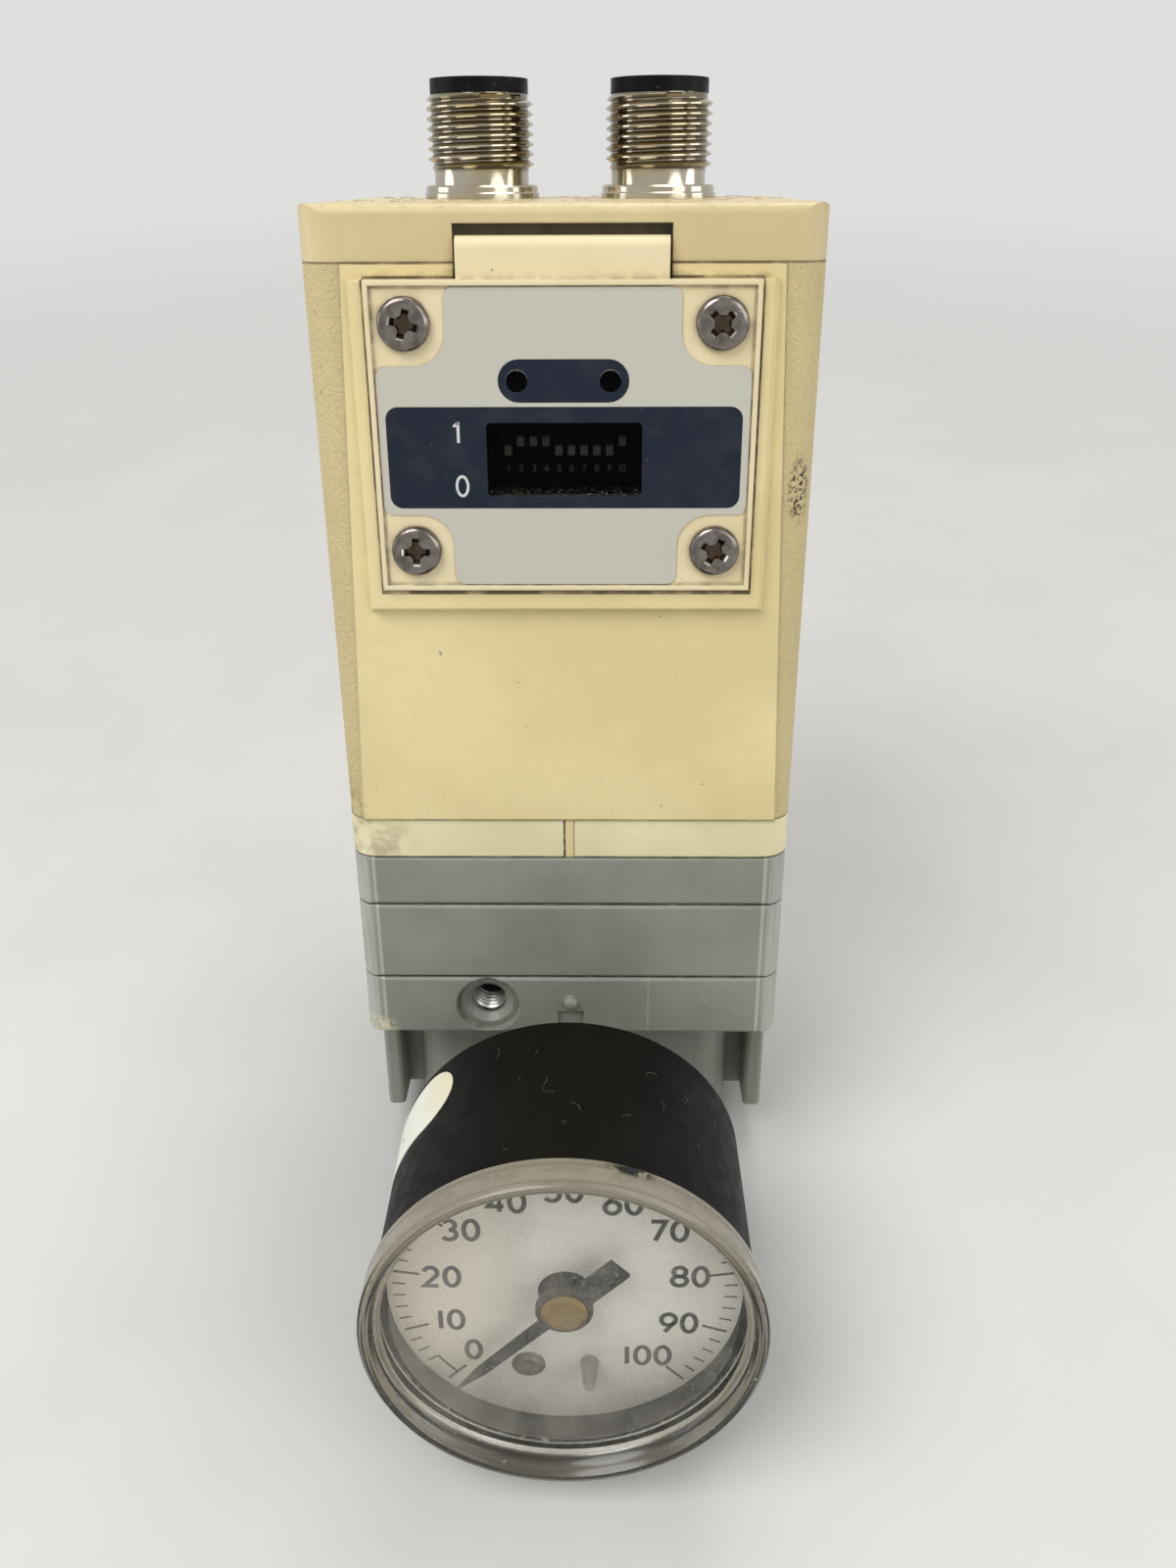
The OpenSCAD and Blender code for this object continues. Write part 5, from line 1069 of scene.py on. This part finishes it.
def fibre_path(luck, curl, shortest):
    """Steps of one curled fibre: two moves along the surface and the share of its lift."""
    way, bend, reach = luck.uniform(0, 360), luck.uniform(-curl, curl), luck.uniform(shortest, 2.2)
    for k in range(FIBRE_STEPS + 1):
        turn = radians(way + bend * k / FIBRE_STEPS)
        step = reach / FIBRE_STEPS
        yield step * cos(turn), step * sin(turn), sin(pi * k / FIBRE_STEPS)


def lint(finish):
    """Lint on the top of the cap and on the gauge case."""
    luck = random.Random(LINT_SEED)
    shape = bmesh.new()
    for _ in range(CAP_FIBRES):
        x, y = (luck.uniform(*span) for span in CAP_AREA)
        if any(hypot(x - side * LINT_CENTRE[0], y - LINT_CENTRE[1]) < LINT_CLEAR for side in (-1, 1)):
            continue
        points = []
        for dx, dy, lift in fibre_path(luck, 70, 0.5):
            x += dx
            y += dy
            points.append(Vector((x, y, CAP_TOP + 0.03 + 0.1 * lift)))
        if all(max(abs(p.x), abs(p.y)) < CAP_EDGE for p in points):
            add_fibre(shape, points, CAP_FIBRE_R)
    add_piece("cap_lint", shape, finish)
    shape = bmesh.new()
    for _ in range(CASE_FIBRES):
        angle, y = (luck.uniform(*span) for span in CASE_AREA)
        points = []
        for du, dy, lift in fibre_path(luck, 260, 0.6):
            angle += degrees(du / CASE_R)
            y += dy
            r = CASE_R + 0.025 + 0.06 * lift
            t = radians(angle)
            points.append(Vector((r * cos(t), y, GAUGE_Z + r * sin(t))))
        add_fibre(shape, points, CASE_FIBRE_R)
    add_piece("case_lint", shape, finish)


WHITE_FINISH = soft_finish("white_print", srgb(214, 216, 216), srgb(196, 198, 198), 0.45, 0.004)
BORE_FINISH = metal_finish("bare_thread", srgb(128, 128, 122), srgb(104, 105, 99), 0.4)
TAP_FINISH = metal_finish("fresh_thread", srgb(186, 186, 180), srgb(150, 150, 144), 0.36, stain=0.6)

dial_print(soft_finish("dial_ink", INK, srgb(70, 68, 66), 0.5, 0.004))
label_print(film_finish("navy_print", NAVY, 0.34, 0.015), WHITE_FINISH)
bank_numerals(WHITE_FINISH)
for side in ("left", "right"):
    connector_shell(side, finish_of("left_connector_shell"))
cover_screws(finish_of("cover_screws"))
valve_coil(finish_of("valve_spring"))
for node in FLEX:
    diaphragm_wedges(node, finish_of(node))
sticker(sticker_finish())
lint(soft_finish("lint", srgb(160, 153, 134), srgb(128, 121, 104), 0.8, 0.01))

# Port threads: two kinds of ridge; then where each starts, its ways in and across, its depth and kind
PORT_THREAD = {"radius": 5.6, "pitch": 1.34, "height": 0.5, "finish": BORE_FINISH}
PILOT_THREAD = {"radius": 2.1, "pitch": 0.8, "height": 0.26, "finish": TAP_FINISH}
THREADS = [("supply_thread", (-BODY_HALF, 0, GAUGE_Z), (1, 0, 0), (0, 1, 0), 13.0, PORT_THREAD),
           ("outlet_thread", (BODY_HALF, 0, GAUGE_Z), (-1, 0, 0), (0, 1, 0), 13.0, PORT_THREAD),
           ("exhaust_thread", (0, 15, GAUGE_Z), (0, -1, 0), (1, 0, 0), 6.2, PORT_THREAD),
           ("pilot_thread", (PILOT_X, -23.4, PILOT_Z), (0, 1, 0), (1, 0, 0), 5.6, PILOT_THREAD)]
for name, centre, axis, across, depth, kind in THREADS:
    thread_ridge(name, Vector(centre), Vector(axis), Vector(across), depth=depth, **kind)

# Floor: it touches the body's rear edge and the gauge case; beyond FADE it turns into the backdrop
REAR_Y, FRONT_Y, FRONT_DROP, FLOOR_GAP = 15.5, -37.5, 10.0, 0.05
FLOOR_HALF = 8000.0
FADE = (120.0, 620.0)
BACKDROP = srgb(252, 252, 250)
BACKDROP_LEVEL, WORLD_LEVEL = 0.76, 0.36
# Lamps: name, place, size and power
LAMP_TARGET = (0, -10, 55)
LAMPS = [("key_lamp", (-260, -330, 520), 420, 2.5), ("fill_lamp", (380, -420, 260), 420, 0.95),
         ("top_lamp", (60, 160, 620), 380, 1.4), ("left_lamp", (-520, -60, 160), 260, 0.35),
         ("right_lamp", (520, -60, 160), 260, 0.35)]
# Camera: place in millimetres, pitch, yaw and roll in degrees, and its lens
CAMERA_PLACE = (3.78, -154.54, 112.90)
CAMERA_TURN = (25.137, -0.709, -0.217)
SENSOR_H, FOCAL_L, CLIP_START = 36.0, 29.56, 0.005


def pale_rays(tree):
    """One on rays from the camera, off glossy faces and through clear ones."""
    rays = add_node(tree, "LightPath").outputs
    seen = rays["Is Camera Ray"]
    for kind in ("Is Glossy Ray", "Is Transmission Ray"):
        seen = add_node(tree, "Math", {0: seen, 1: rays[kind]}, operation="MAXIMUM").outputs[0]
    return seen


def add_floor():
    """Plain pale floor that fades into the backdrop."""
    slope = FRONT_DROP / (REAR_Y - FRONT_Y)
    shape = bmesh.new()
    corners = [(FLOOR_HALF * sx, FLOOR_HALF * sy) for sx, sy in ((-1, -1), (1, -1), (1, 1), (-1, 1))]
    shape.faces.new([shape.verts.new((x, y, (y - REAR_Y) * slope - FLOOR_GAP)) for x, y in corners])
    f = Finish("floor_paper")
    f.patches(0.02, srgb(208, 207, 204), srgb(203, 202, 199), 3)
    f.done(Roughness=0.7, Normal=f.bump(f.noise(0.8, 3), 0.01))
    away = f.add("VectorMath", {0: f.place}, operation="LENGTH").outputs["Value"]
    glow = f.add("Emission", {"Color": BACKDROP, "Strength": BACKDROP_LEVEL}).outputs[0]
    shown = f.times(pale_rays(f.tree), f.spread(away, *FADE))
    fade = f.add("MixShader", {0: shown, 1: f.shader.outputs[0], 2: glow})
    feed(f.tree, f.out.inputs["Surface"], fade.outputs[0])
    floor = add_mesh("floor", shape, f.material)


def add_light():
    """Soft round lamps and a pale world."""
    target = Vector(LAMP_TARGET) * MM
    for name, place, size, power in LAMPS:
        lamp = bpy.data.lights.new(name, "AREA")
        lamp.shape = "DISK"
        lamp.size = size * MM
        lamp.energy = power
        thing = add_object(name, lamp)
        thing.location = Vector(place) * MM
        thing.rotation_euler = (target - thing.location).to_track_quat("-Z", "Y").to_euler()
    world = bpy.data.worlds.new("studio")
    bpy.context.scene.world = world
    world.use_nodes = True
    tree = world.node_tree
    tree.nodes.clear()
    dim, bright = (add_node(tree, "Background", {"Color": BACKDROP, "Strength": level}).outputs[0]
                   for level in (WORLD_LEVEL, BACKDROP_LEVEL))
    blend = add_node(tree, "MixShader", {0: pale_rays(tree), 1: dim, 2: bright})
    add_node(tree, "OutputWorld", {"Surface": blend.outputs[0]})


def add_camera():
    """Camera at the photograph's place and angle."""
    pitch, yaw, roll = (radians(angle) for angle in CAMERA_TURN)
    ahead = Vector((sin(yaw) * cos(pitch), cos(yaw) * cos(pitch), -sin(pitch)))
    right = Vector((cos(yaw), -sin(yaw), 0))
    up = right.cross(ahead)
    turned_right = right * cos(roll) + up * sin(roll)
    turned_up = up * cos(roll) - right * sin(roll)
    lens = bpy.data.cameras.new("photo_camera")
    lens.sensor_fit = "VERTICAL"
    lens.sensor_height = SENSOR_H
    lens.lens = FOCAL_L
    lens.clip_start = CLIP_START
    thing = add_object("photo_camera", lens)
    axes = Matrix((turned_right, turned_up, -ahead)).transposed()
    thing.matrix_world = Matrix.Translation(Vector(CAMERA_PLACE) * MM) @ axes.to_4x4()
    bpy.context.scene.camera = thing


add_floor()
add_light()
add_camera()
bpy.context.scene.view_settings.view_transform = "Standard"
